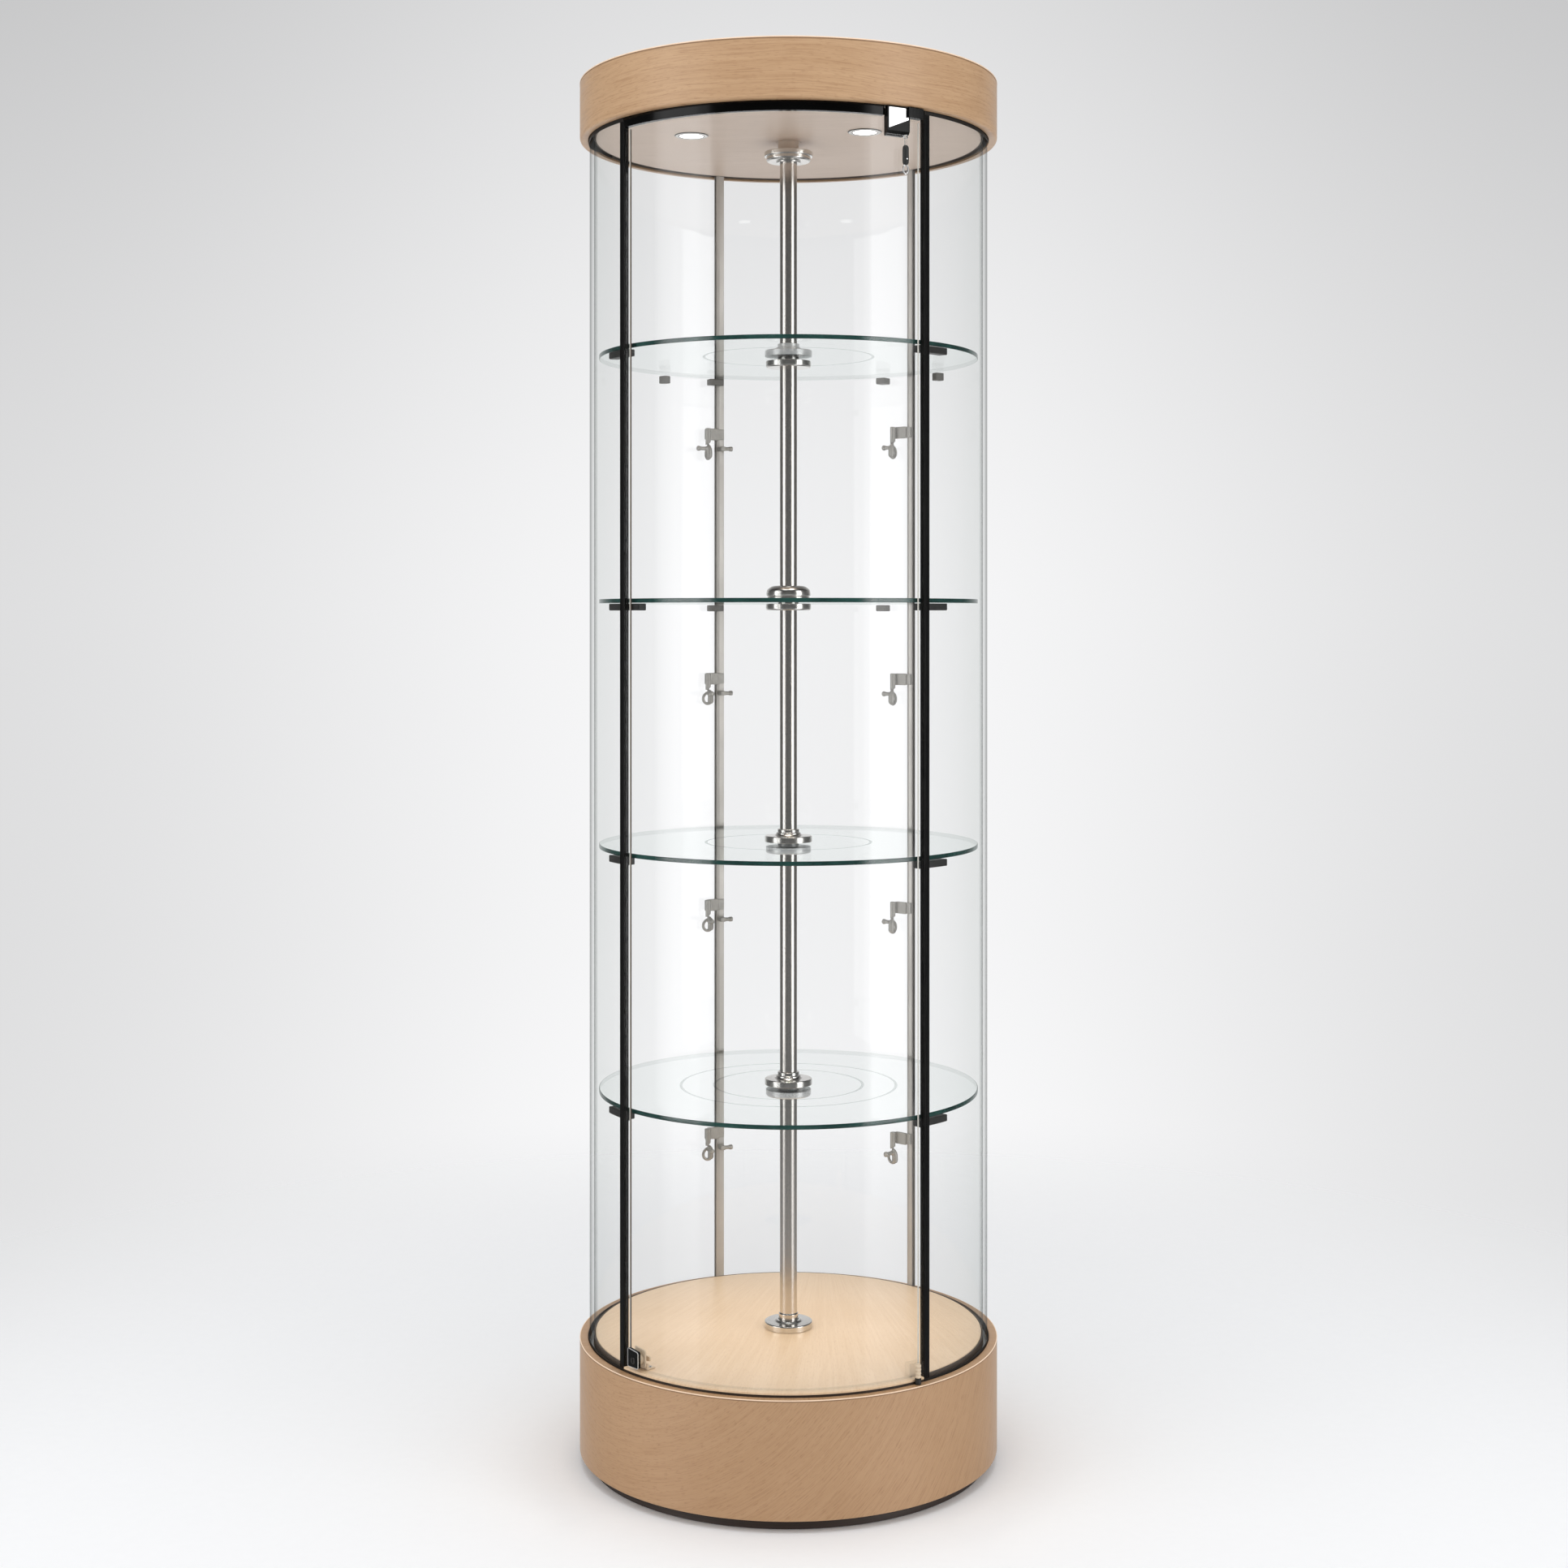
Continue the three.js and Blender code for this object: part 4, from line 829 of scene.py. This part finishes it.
def front_outline(side, half=5.0):
    """Section of a front post at azimuth 0: a slot for the pane on one side, a fine raised line in front."""
    out, inn = -FILL_R, -POST_IN
    crest = 0.9 if side == "front_left" else -0.9
    points = [(-half, out + 0.9, 0.5), (-half + 0.7, out + 0.35, 0.4), (crest - 0.75, out + 0.35, 0.1)]
    points += [(crest - 0.45, out, 0.2), (crest + 0.45, out, 0.2), (crest + 0.75, out + 0.35, 0.1)]
    points += [(half - 0.7, out + 0.35, 0.4), (half, out + 0.9, 0.5)]
    rear = [(half, inn - 0.2, 0.6), (half - 0.9, inn, 0.3), (-half + 0.9, inn, 0.3), (-half, inn - 0.2, 0.6)]
    if side == "front_right":
        return rounded(points + groove_points(half) + rear, 2)
    return rounded(points + rear + mirrored(groove_points(half)), 2)


def back_outline(half):
    """Section of a back post: slotted on both sides, with two slanting faces towards the shelves."""
    out, inn = -FILL_R, -POST_IN
    points = [(-half, out, 0.6), (half, out, 0.6), *groove_points(half)]
    points += [(half, inn - 0.4, 0.4), (half - 0.8, inn - 0.1, 0.3), (0.15 * half, inn, 0.3)]
    points += [(-half + 0.5, inn - 0.9, 0.4), (-half, inn - 1.2, 0.3), *mirrored(groove_points(half))]
    return rounded(points, 2)


def make_posts():
    for side, azimuth in POSTS.items():
        place, hand = side.split("_")
        front = place == "front"
        outline = front_outline(side) if front else back_outline(BACK_POST_HALF[hand])
        look, slot = (BLACK, "black_metal") if front else (GREY, "satin_metal")
        bar = plate(outline, GLASS_LOW, GLASS_HIGH, 0.25, 1)
        piece("post_bar_" + side, bar, look, "cabinet", azimuth, "post_" + side, sharp=30)


def make_blocks():
    outer, inner, end, skin = 276.6, 262, 0.3, 1.2
    tongue, tongue_high, gap, back = 4.4, 7.5, 1, POST_IN + 0.5
    for side in ("front_left", "front_right"):
        for row, top in enumerate(SHELF_TOPS, 1):
            high = top - SHELF_THICK - gap
            low = high - BLOCK_HIGH
            reach = 4.9 if row == 2 else -1.0
            start, stop = (-12.2, reach) if side == "front_left" else (-0.6, 11.4)
            core = four_sided(inner, outer, low, high, (1.5, 1.8, 1.2, 1.2), 4)
            block = arc_bar(core, start + end, stop - end, 1.0)
            core = four_sided(inner + skin, outer - skin, low + 1.1, high - 1, (1.2, 1.4, 1.0, 1.0), 4)
            block = arc_bar(core, start, stop, 1.0, block)
            block = box(-tongue, tongue, outer - 2, back, high - 1 - tongue_high, high - 1, 0.4, block)
            piece(f"steady_block_{side}_{row}", block, PLASTIC, azimuth=POSTS[side])
    for row, top in enumerate(SHELF_TOPS[:2], 1):
        high = top - SHELF_THICK - gap
        low = high - BLOCK_HIGH
        block = box(0, 23, inner, outer, low, high, 1.4, steps=3)
        block = box(-tongue, tongue, outer - 1, back, high - 1 - tongue_high, high - 1, 0.4, block)
        piece(f"steady_block_back_left_{row}", block, PAD, azimuth=POSTS["back_left"])
        pad = box(-8, 8, inner, GLASS_IN - 0.8, low, high, 1.4, steps=3)
        piece(f"steady_pad_rear_{row}", pad, PAD, "cabinet", 153.4, f"steady_pad_{row}")
    for side, azimuth in (("left", 230), ("right", 130)):
        high = SHELF_TOPS[0] - SHELF_THICK - gap
        pad = box(-5.5, 5.5, 265, GLASS_IN - 0.4, high - 11.5, high, 1.3, steps=3)
        piece("small_pad_" + side, pad, PAD, azimuth=azimuth)


def make_hooks():
    for side, half in BACK_POST_HALF.items():
        azimuth = POSTS["back_" + side]
        for row, drop in enumerate(HOOK_DROPS, 1):
            top = SHELF_TOPS[row - 1] - drop
            clamp = hook_clamp(side, half, top)
            piece(f"hook_clamp_{side}_{row}", clamp, HOOK, azimuth=azimuth)
            aside = row == 1 if side == "left" else row < 4
            eye = hook_eye(top)
            eye.transform(Matrix.Translation((HOOK_OUT, -HOOK_STEM_R, 0)) @ upright(-85 if aside else 0))
            names = f"hook_swivel_{side}_{row}", f"hook_{side}_{row}", f"hook_eye_{side}_{row}"
            piece(names[0], eye, HOOK, names[1], azimuth, names[2], sharp=60)


def hook_clamp(side, half, top):
    """The fixed part of a hook: a bent plate from the post to a slanted tube. Left ones have a screw."""
    plate_in, plate_out, root = 272.8, 276.8, half - 1.5
    outline = [(root, top - 18, 1.2), (21, top - 18, 2.0), (HOOK_OUT, top - 18, 3.0), (HOOK_OUT, top, 3.0)]
    clamp = plate(rounded([*outline, (root, top, 1.2)]), plate_in, plate_out, 0.8, 3, turn=STAND_UP)
    clamp = box(-half + 1, half - 0.5, 275.5, 279.2, top - 17, top - 1, 0.6, clamp)
    clamp = box(HOOK_OUT - 3.4, HOOK_OUT + 3.4, HOOK_STEM_R, 275.5, top - 17.6, top - 0.6, 1.6, clamp, 3)
    tube = rod((0, 0, -25.4), (0, 0, 0), 4.0, 28, 1.3)
    for v in tube.verts:
        if v.co.z < -12:
            v.co.z += 3.6 - 0.62 * (v.co.x + 4)
    tube.transform(Matrix.Translation((HOOK_OUT, -HOOK_STEM_R, top)))
    clamp = join(clamp, tube)
    if side == "left":
        level = top - 31.5
        clamp = box(-4, 4, HOOK_STEM_R - 3.4, 279.2, level - 3.4, level + 3.4, 1.2, clamp, 3)
        clamp = rod((-12.5, -HOOK_STEM_R, level), (0, -HOOK_STEM_R, level), 2.9, 24, 0.5, clamp)
        clamp = rod((-16, -HOOK_STEM_R, level), (-10.6, -HOOK_STEM_R, level), 3.7, 24, 1.1, clamp)
    return clamp


def hook_eye(top):
    """The swivel part of a hook: a pin, a tapered body that runs on into an eye, and a peg square to it."""
    body = rod((0, 0, top - 27.6), (0, 0, top - 20.4), 1.5, 20, 0.3)
    path = (
        (0.0, -25.9, 1.2), (-0.7, -26.8, 2.1), (-1.9, -28.2, 2.9), (-3.1, -30.4, 3.6), (-4.0, -33.4, 4.2),
        (-4.3, -37.0, 4.5), (-4.2, -40.6, 4.4), (-3.5, -43.8, 3.9), (-1.9, -46.2, 3.1), (0.6, -47.3, 2.4),
        (3.1, -47.0, 2.15), (5.5, -45.6, 2.1), (7.3, -43.2, 2.1), (8.1, -40.2, 2.1), (7.8, -37.2, 2.1),
        (6.5, -34.4, 2.1), (4.4, -32.2, 2.1), (1.8, -30.6, 2.1), (-1.2, -29.6, 2.1), (-3.0, -29.4, 1.6),
    )
    body = pipe([Vector((x, 0, top + z)) for x, z, _ in path], [r for *_, r in path], bm=body)
    low = ((-8.9, 0.4), (-8.7, 1.6), (-8.0, 2.9), (-6.8, 3.8), (-5.2, 4.4), (-2.0, 4.55))
    body = pipe([Vector((-4.2, 0, top - 38.6 + z)) for z, _ in low], [r for _, r in low], bm=body)
    peg = (
        (0.0, 4.3), (2.0, 4.1), (4.0, 3.4), (6.0, 2.95), (9.0, 2.85), (12.4, 2.9),
        (13.6, 3.3), (14.6, 3.9), (16.4, 4.1), (17.8, 3.8), (18.7, 2.9), (19.0, 1.6),
    )
    bend = [Vector((-0.9 * max(0, 4 - y), y, top - 31.8)) for y, _ in peg]
    return pipe(bend, [r for _, r in peg], bm=body)


# Pole, shelves and collars
def steel_ring(name, outline, node, look, body="cabinet", steps=4):
    """A turned ring round the pole, from its section."""
    piece(name, lathe(rounded(outline, steps), 96), look, body, 0, node)


def make_flanges():
    low, bore, wide = DECK_TOP + FIT, 14.6, 34.5
    outline = [
        (22, low, 0.2), (wide, low, 0.4), (wide, low + 9, 1.8), (20, low + 9.2, 0.8),
        (18.4, low + 11.3, 0.9), (bore, low + 11.5, 0.4), (bore, low + 5.6, 0.2), (22, low + 5.6, 0.2),
    ]
    steel_ring("floor_flange", outline, "deck_flange", STEEL)
    low, high = packed("ceiling_flange", 0, 2), packed("ceiling_flange", 1, 2)
    step, sleeve, neck, wide = high - 7, 15.3, 32, 35
    outline = [
        (COLLAR_BORE, low, 0.3), (17, low, 0.6), (18.2, low + 2.5, 0.6), (30.2, low + 1.9, 1.4),
        (neck, low + 4.1, 0.9), (neck, step, 0.3), (wide, step, 1.1), (wide, high, 1.4),
        (sleeve, high, 0.3), (sleeve, step, 0.3), (COLLAR_BORE, step, 0.2),
    ]
    steel_ring("ceiling_rose", outline, "ceiling_flange", STEEL)


def make_spindle():
    foot, head = DECK_LOW - 28, packed("spindle_pole", 1, 2)
    collar, collar_low, collar_high = 14, DECK_TOP + 5.6, DECK_TOP + 20.3
    outline = [
        (POLE_IN, foot, 0.2), (POLE_R, foot, 0.2), (POLE_R, collar_low, 0.2), (collar, collar_low, 0.3),
        (collar, collar_high, 0.8), (POLE_R, collar_high + 1.2, 0.3), (POLE_R, head, 0.3),
        (POLE_IN, head, 0.2),
    ]
    piece("pole", lathe(rounded(outline), 64), POLE, "spindle", 0, "spindle_pole")
    make_flanges()
    for row, (top, grooves) in enumerate(zip(SHELF_TOPS, ((122,), (), (119,), (155, 107))), 1):
        make_shelf(row, top, grooves)
        make_collars(row, top)


def make_shelf(row, top, grooves):
    """A round glass shelf with fine ground rings in its upper face."""
    bore, low, edge, wide, deep = 15.3, top - SHELF_THICK, 1.1, 2.0, 0.12
    outline = [(bore, low, 0.3), (SHELF_R, low, edge), (SHELF_R, top, edge)]
    for radius in grooves:
        outline += [(radius + wide, top, 0), (radius, top - deep, 0), (radius - wide, top, 0)]
    shelf = lathe(rounded([*outline, (bore, top, 0.3)], 4), 256)
    for face in shelf.faces:
        middle = face.calc_center_median()
        away = middle.xy.length
        if away > SHELF_R - edge - 0.1:
            face.material_index = 1
        elif middle.z > top - deep - 0.07 and any(abs(away - radius) < wide for radius in grooves):
            face.material_index = 2
    looks, node = [SHELF, RIM, GROOVE], f"shelf_{row}"
    piece(f"glass_shelf_{row}", shelf, looks, "spindle", 0, node, weighted=False)


def make_collars(row, top):
    """The turned collars under and over a shelf. The one over the second shelf is domed."""
    under, over, wide, sleeve = top - SHELF_THICK - FIT, top + FIT, 32.5, 15
    outline = [
        (COLLAR_BORE, under - 9.5, 0.3), (wide - 1.5, under - 9.5, 1.6), (wide, under - 7.6, 1.0),
        (wide, under, 0.8), (sleeve, under, 0.2), (sleeve, top - FIT, 0.2), (COLLAR_BORE, top - FIT, 0.2),
    ]
    # The pale trim look on some collars is partly painted sheen
    steel_ring(f"collar_below_{row}", outline, f"lower_collar_{row}", SHEEN_PAINTED_TRIM if row > 2 else STEEL, "spindle")
    domed = ((30.5, 0, 0.6), (30.5, 3.2, 0.2), (29.6, 4.2, 0.2), (31.4, 4.6, 0.6))
    domed += ((32, 8, 1.8), (31, 13.6, 3.0), (24, 19, 4.0), (COLLAR_BORE, 20, 0.6))
    stepped = ((34, 0, 0.6), (34, 9, 1.8), (20, 9.3, 0.9), (17.6, 11.4, 0.5))
    stepped += ((17.6, 13, 0.4), (15.6, 14, 0.5), (15.6, 18.2, 0.8), (COLLAR_BORE, 19, 0.4))
    outline = [(COLLAR_BORE, 0, 0.2), *(domed if row == 2 else stepped)]
    outline = [(radius, over + level, edge) for radius, level, edge in outline]
    look, steps = SHEEN_PAINTED_TRIM if row == 1 else STEEL, 5 if row == 2 else 4
    steel_ring(f"collar_above_{row}", outline, f"upper_collar_{row}", look, "spindle", steps)


# Door fittings
def make_hinges():
    inner, outer = GLASS_IN - 0.4, GLASS_OUT + 0.4
    back, face, front = inner - 6.6, outer + 7.6, outer + 11.6
    head_low, head_high, plate_low = DOOR_HIGH + 0.4, DOOR_HIGH + 14, DOOR_HIGH - 22.6
    start, face_start, end = 34.0, 32.7, 39.6
    cheek = [(outer, plate_low, 0.4), (face - 3.4, plate_low, 0.8), (face - 0.4, plate_low + 4.2, 0.8)]
    cheek += [(face, head_low, 0.2), (outer, head_low, 0.2)]
    clamp = None
    for section, first, last in (
        (four_sided(back, face, head_low, head_high, (0.5, 0.3, 1.0, 1.0)), start, end),
        (four_sided(back, inner, plate_low, head_low, (1.0, 0.4, 0.2, 0.2)), start, end),
        (rounded(cheek), face_start, end),
        (four_sided(outer, face, head_low, head_high, (0.3, 0.3, 1.0, 0.6)), face_start, end),
        (four_sided(outer, front, head_low, head_high, (0.8, 0.8, 0.8, 0.6)), 38.8, 43.6),
    ):
        clamp = arc_bar(section, first, last, 0.7, clamp)
    pin = spot(42.6, 292, 0)
    clamp = rod(pin + Vector((0, 0, head_high - 1)), pin + Vector((0, 0, head_high + 8)), 2.5, bm=clamp)
    piece("top_clamp", clamp, BLACK, "door", 0, "hinge_clamp_top")
    make_polished_face(face, head_high - 2, head_high - 29.4, head_high - 16.8)
    make_release()
    make_pivot(pin)


def make_polished_face(face, top, low_left, low_right):
    """The bright face of the top clamp, cut off at a slant below."""
    left, right, columns, skin = 33.15, 39.15, 10, (0.05, -0.45)
    mirror = bmesh.new()
    rows = []
    for i in range(columns + 1):
        share = i / columns
        azimuth, low = left + (right - left) * share, low_left + (low_right - low_left) * share
        corners = ((skin[0], low), (skin[0], top), (skin[1], top), (skin[1], low))
        rows.append([mirror.verts.new(spot(azimuth, face + proud, level)) for proud, level in corners])
    for a, b in zip(rows, rows[1:]):
        bridge(mirror, a, b)
    mirror.faces.new(rows[0])
    mirror.faces.new(rows[-1][::-1])
    piece("top_clamp_face", mirror, MIRROR, "door")


def make_release():
    """The pull under the top hinge: a clear stem, a black grip with a stud, and a ring."""
    radius, azimuth, grip_low = 291.1, 38.6, packed("hinge_release", 0, 2) + 10.5
    centre = spot(azimuth, radius, 0)
    stem_low, cap_low, stem_top = (spot(azimuth, radius, grip_low + rise) for rise in (25, 36, 40.2))
    stem = rod(stem_low, stem_top, 1.7, 20, 0.2)
    stem = rod(cap_low, stem_top, 3.0, 20, 0.4, stem)
    piece("release_stem", stem, CLEAR_PLASTIC, "release")
    shape = ((0, 0), (1.8, 0.3), (3.3, 1.4), (4.1, 3.4), (4.3, 6))
    shape += ((4.3, 21), (4.1, 23.6), (3.3, 25.6), (1.8, 26.8), (0, 27))
    grip = lathe([(r, grip_low + z) for r, z in shape], 32, centre.xy)
    piece("release_grip", grip, PLASTIC, "release", 0, "hinge_release")
    stud = [spot(azimuth - 0.12, radius + out, grip_low + 8) for out in (3.6, 4.9)]
    piece("release_stud", rod(*stud, 1.2, 16, 0.5), MIRROR, "release")
    wide, tall, around = 4.0, 6.4, 44
    turns = [2 * math.pi * k / around for k in range(around)]
    loop = [Vector((wide * math.sin(t), -radius, grip_low - 5.4 + tall * math.cos(t))) for t in turns]
    piece("release_ring", pipe(loop, [1.15] * around, 14, True), CHROME, "release", azimuth)


def make_pivot(pin):
    """The bottom hinge: a ringed sleeve on the door, a block under it, and a clear clamp round the glass."""
    low, wide, pin_low = DOOR_LOW - 0.4, 4.0, packed("hinge_clamp_bottom", 0, 2) + 0.3
    block_low, block_high = BASE_TOP + FIT, packed("pivot_block_bottom", 1, 2)
    block = lathe(four_sided(2.8, 4.2, block_low, block_high, (0.2, 0.3, 0.5, 0.2)), 32, pin.xy)
    piece("pivot_block", block, PLASTIC, stands_for="pivot_block_bottom")
    sleeve = rod(pin + Vector((0, 0, pin_low)), pin + Vector((0, 0, pin_low + 16.4)), 2.4, 24, 0.3)
    rib = ((3.2, 0), (3.7, 0.4), (wide, 1.1), (wide, 3.0), (3.7, 3.7), (3.0, 4.1), (3.0, 4.74))
    outline = [(0, low)]
    for i in range(4):
        outline += [(r, low + 4.75 * i + z) for r, z in rib]
    outline += [(2.4, low + 19), (0, low + 19.1)]
    sleeve = lathe(outline, 36, pin.xy, sleeve)
    piece("pivot_sleeve", sleeve, BEIGE, "door", 0, "hinge_clamp_bottom")
    back, front, high, lip = GLASS_IN - 4.4, GLASS_OUT + 4.4, low + 19, low + 0.3
    outline = [
        (back, low, 0.5), (front, low, 0.5), (front, high, 0.8), (GLASS_OUT + 0.5, high, 0.3),
        (GLASS_OUT + 0.5, lip, 0.1), (GLASS_IN - 0.5, lip, 0.1), (GLASS_IN - 0.5, high, 0.3),
        (back, high, 0.8),
    ]
    clip = arc_bar(rounded(outline), 40.6, DOOR_HALF, 0.7)
    piece("bottom_clamp", clip, CLEAR_CLIP, "door")


def make_lock():
    azimuth, level = -40.4, (packed("lock_cylinder", 0, 2) + packed("lock_cylinder", 1, 2)) / 2
    low, high = packed("lock_housing", 0, 2), packed("lock_housing", 1, 2)
    case_back, case_face, cam_in, half = GLASS_OUT + 0.7, GLASS_OUT + 5.4, 268.9, 11
    shape = rounded([(-half, low, 1.5), (half, low, 2.2), (half, high - 3, 3.4), (-half, high, 2.4)], 4)
    case = plate(shape, case_back, case_face, 1.0, 3, turn=STAND_UP)
    piece("lock_case", case, BLACK, "door", azimuth, "lock_housing")
    backing = plate(shape, GLASS_IN - 3.4, GLASS_IN - 0.7, 0.7, 3, turn=STAND_UP)
    backing = rod((0, -GLASS_IN + 1, level), (0, -GLASS_OUT - 1, level), 8.3, 36, 0, backing)
    piece("lock_backing", backing, BEIGE, "door", azimuth, "lock_housing")
    # The trim's pale colour is a painted sheen in place of a chrome highlight
    trim = raised_rim(shape, case_face - 0.4, case_face + 0.5, 0.6)
    piece("lock_trim", trim, SHEEN_PAINTED_TRIM, "door", azimuth)
    barrel = rod((0, -276, level), (0, -292.2, level), 5.0, 36, 0.5)
    cam = rod((0, -cam_in, level), (0, -277, level), 3.2, 28, 0.3)
    arm = [(-4, level - 4, 3.5), (11.5, level - 3, 2), (11.5, level + 3, 2), (-4, level + 4, 3.5)]
    cam = plate(rounded(arm, 4), cam_in, cam_in + 2.7, 0.5, 2, cam, STAND_UP)
    piece("lock_cam", cam, BEIGE, "lock", azimuth, "lock_cylinder")
    lock = piece("lock_barrel", barrel, DARK_STEEL, "lock", azimuth, "lock_cylinder")
    keyway = box(-0.55, 0.55, 288, 294, level - 2.8, level + 2.8, 0)
    keyway.transform(upright(azimuth))
    cut(lock, keyway)
    foot, face = DECK_TOP + FIT, 274.8
    keeper = box(-10, 10, face - 2.6, face, foot, foot + 8.6, 0.6)
    keeper = box(-10, 10, face - 14.6, face, foot, foot + 2, 0.5, keeper)
    piece("lock_catch", keeper, BEIGE, "cabinet", azimuth, "lock_keeper")
    screws = screw_heads([(across, -265.5, foot + 2) for across in (-5.5, 5.5)], (0, 0, 1), 2.0)
    piece("lock_catch_screws", screws, CHROME, azimuth=azimuth)


def raised_rim(shape, low, high, width):
    """A thin raised rim that follows an outline."""
    part = bmesh.new()
    outer, inner = shrink(shape, 0.15), shrink(shape, width)
    rows = []
    for ring, level in ((outer, low), (outer, high), (inner, high), (inner, low)):
        rows.append([part.verts.new((x, y, level)) for x, y in ring])
    for a, b in zip(rows, rows[1:] + rows[:1]):
        bridge(part, a, b)
    part.transform(STAND_UP)
    return part


# Parts that stay as the frame has them
def dress_frame():
    looks = {
        "base_board": BOARD, "gear_motor": GREY, "drive_coupling": STEEL, "lower_bearing": STEEL,
        "upper_bush": SLEEVE, "light_driver": PALE,
    }
    for node, look in looks.items():
        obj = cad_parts[node]
        obj.data.materials.clear()
        obj.data.materials.append(look)


# Studio
def backdrop_colour(look, rise, turn):
    """A pale backdrop that is lightest behind the object, in each of the eight main directions."""
    wide = (1.0 - look.math("COSINE", turn * 8.0)) * 0.5
    drop = look.larger(rise, 0.0) ** 1.5 * 0.42
    low = look.span(rise, -13.0, -7.0, 1.0, 0.0) * 3.0
    level = 248.0 - drop + low - wide * 28.0
    level = (look.larger(level, 120.0) * (1 / 255)) ** 2.2
    return look.vector(level, level, level * 1.008)


def mirrored_strength(look, rise, turn):
    """What polished surfaces see: light far behind, two bright bands at the sides, and a pale ground."""
    behind = math.pi - abs((turn + 4 * math.pi) % (2 * math.pi) - math.pi)
    shade = look.span(behind, math.radians(24), math.radians(50), 1.0, 0.14)
    for middle, inner, outer in ((-116, 10, 15), (120, 14, 19)):
        away = abs(turn - math.radians(middle))
        shade = look.larger(shade, look.span(away, math.radians(inner), math.radians(outer), 1.3, 0.0))
    low = look.span(rise, -16.0, -10.0, 0.42, 0.0) * look.span(rise, -46.0, -30.0, 0.0, 1.0)
    return look.larger(shade, low)


def make_world():
    """The backdrop and the light from it, by the rise and the turn of a view direction."""
    look = Look("studio", "World")
    _, x, y, z = look.place("Generated")
    rise = look.math("ARCTAN2", z, look.length(x, y)) * (180 / math.pi)
    turn = look.math("ARCTAN2", x, y) + math.radians(FIRST_VIEW)
    backdrop = backdrop_colour(look, rise, turn)
    seen = look.node("Background", {"Color": backdrop, "Strength": 1.0})
    lit = look.node("Background", {"Color": (0.98, 0.99, 1.0, 1), "Strength": 0.72})
    strength = mirrored_strength(look, rise, turn)
    reflected = look.node("Background", {"Color": backdrop, "Strength": strength})
    around = look.mixed(look.ray("Glossy"), lit, reflected)
    rays = look.math("ADD", look.ray("Camera"), look.ray("Transmission"), True)
    bpy.context.scene.world = look.finish(look.mixed(rays, around, seen))


def make_floor():
    """A pale studio floor near the object. Further out only the backdrop is seen."""
    look = Look("studio floor")
    where, x, y, _ = look.place()
    colour = look.blend(look.noise(where, 60.0, 3.0), lin(250, 250, 251), lin(253, 253, 254))
    rays = look.math("ADD", look.ray("Camera") + look.ray("Glossy"), look.ray("Transmission"), True)
    share = look.larger(look.span(look.length(x, y), 0.9, 2.4) * rays, look.ray("Glossy"))
    ground = look.node("BsdfDiffuse", {"Color": colour})
    material = look.finish(look.mixed(share, ground, look.clear((1, 1, 1, 1))))

    disc = bmesh.new()
    bmesh.ops.create_circle(disc, cap_ends=True, segments=96, radius=14)
    mesh = bpy.data.meshes.new("floor")
    disc.to_mesh(mesh)
    disc.free()
    mesh.materials.append(material)
    placed("floor", mesh, (0, 0, -0.0005))


def lamp(name, kind, location, energy, **settings):
    data = bpy.data.lights.new(name, kind)
    data.energy = energy
    for key, value in settings.items():
        setattr(data, key, value)
    return placed(name, data, location)


def softbox(name, azimuth, distance, level, size, power):
    """A soft panel of light that faces the object."""
    place = spot(azimuth, distance, level)
    panel = lamp(name, "AREA", place, power, shape="RECTANGLE", size=size[0], size_y=size[1])
    aim = Vector((0, 0, min(level, 1.35))) - place
    panel.rotation_euler = aim.to_track_quat("-Z", "Y").to_euler()


def make_lamps():
    softbox("key softbox", -54, 2.7, 1.35, (1.7, 2.7), 17)
    softbox("fill softbox", 64, 2.7, 1.35, (1.25, 2.7), 16.5)
    softbox("top softbox", FIRST_VIEW, 0.6, 3.4, (1.8, 1.8), 22)
    beam = {"spot_size": math.radians(24), "spot_blend": 1.0, "shadow_soft_size": 0.015}
    beam["color"] = (1.0, 0.86, 0.7)
    for side, (azimuth, radius) in LIGHTS.items():
        lamp("downlight " + side, "SPOT", spot(azimuth, radius * MM, (CANOPY_LOW - 4) * MM), 12.0, **beam)
    glow = {"shape": "DISK", "size": 0.44, "spread": math.radians(130), "color": (1.0, 0.9, 0.78)}
    deck = lamp("deck light", "AREA", (0, 0, 0.51), 0.44, **glow)
    deck.visible_glossy = False
    deck.visible_transmission = False


def make_camera():
    data = bpy.data.cameras.new("camera")
    data.lens = 53.14
    data.sensor_width = 36
    data.shift_x = -0.00285
    data.shift_y = -0.1058
    data.clip_end = 60
    camera = placed("camera", data, spot(FIRST_VIEW, 3.3426, 1.204))
    camera.rotation_euler = (math.radians(90), 0, math.radians(FIRST_VIEW))
    bpy.context.scene.camera = camera


bpy.context.scene.view_settings.view_transform = "Standard"
make_camera()
make_world()
make_floor()
make_lamps()
make_base()
make_canopy()
make_lights()
make_panes()
make_posts()
make_blocks()
make_hooks()
make_spindle()
make_hinges()
make_lock()
dress_frame()
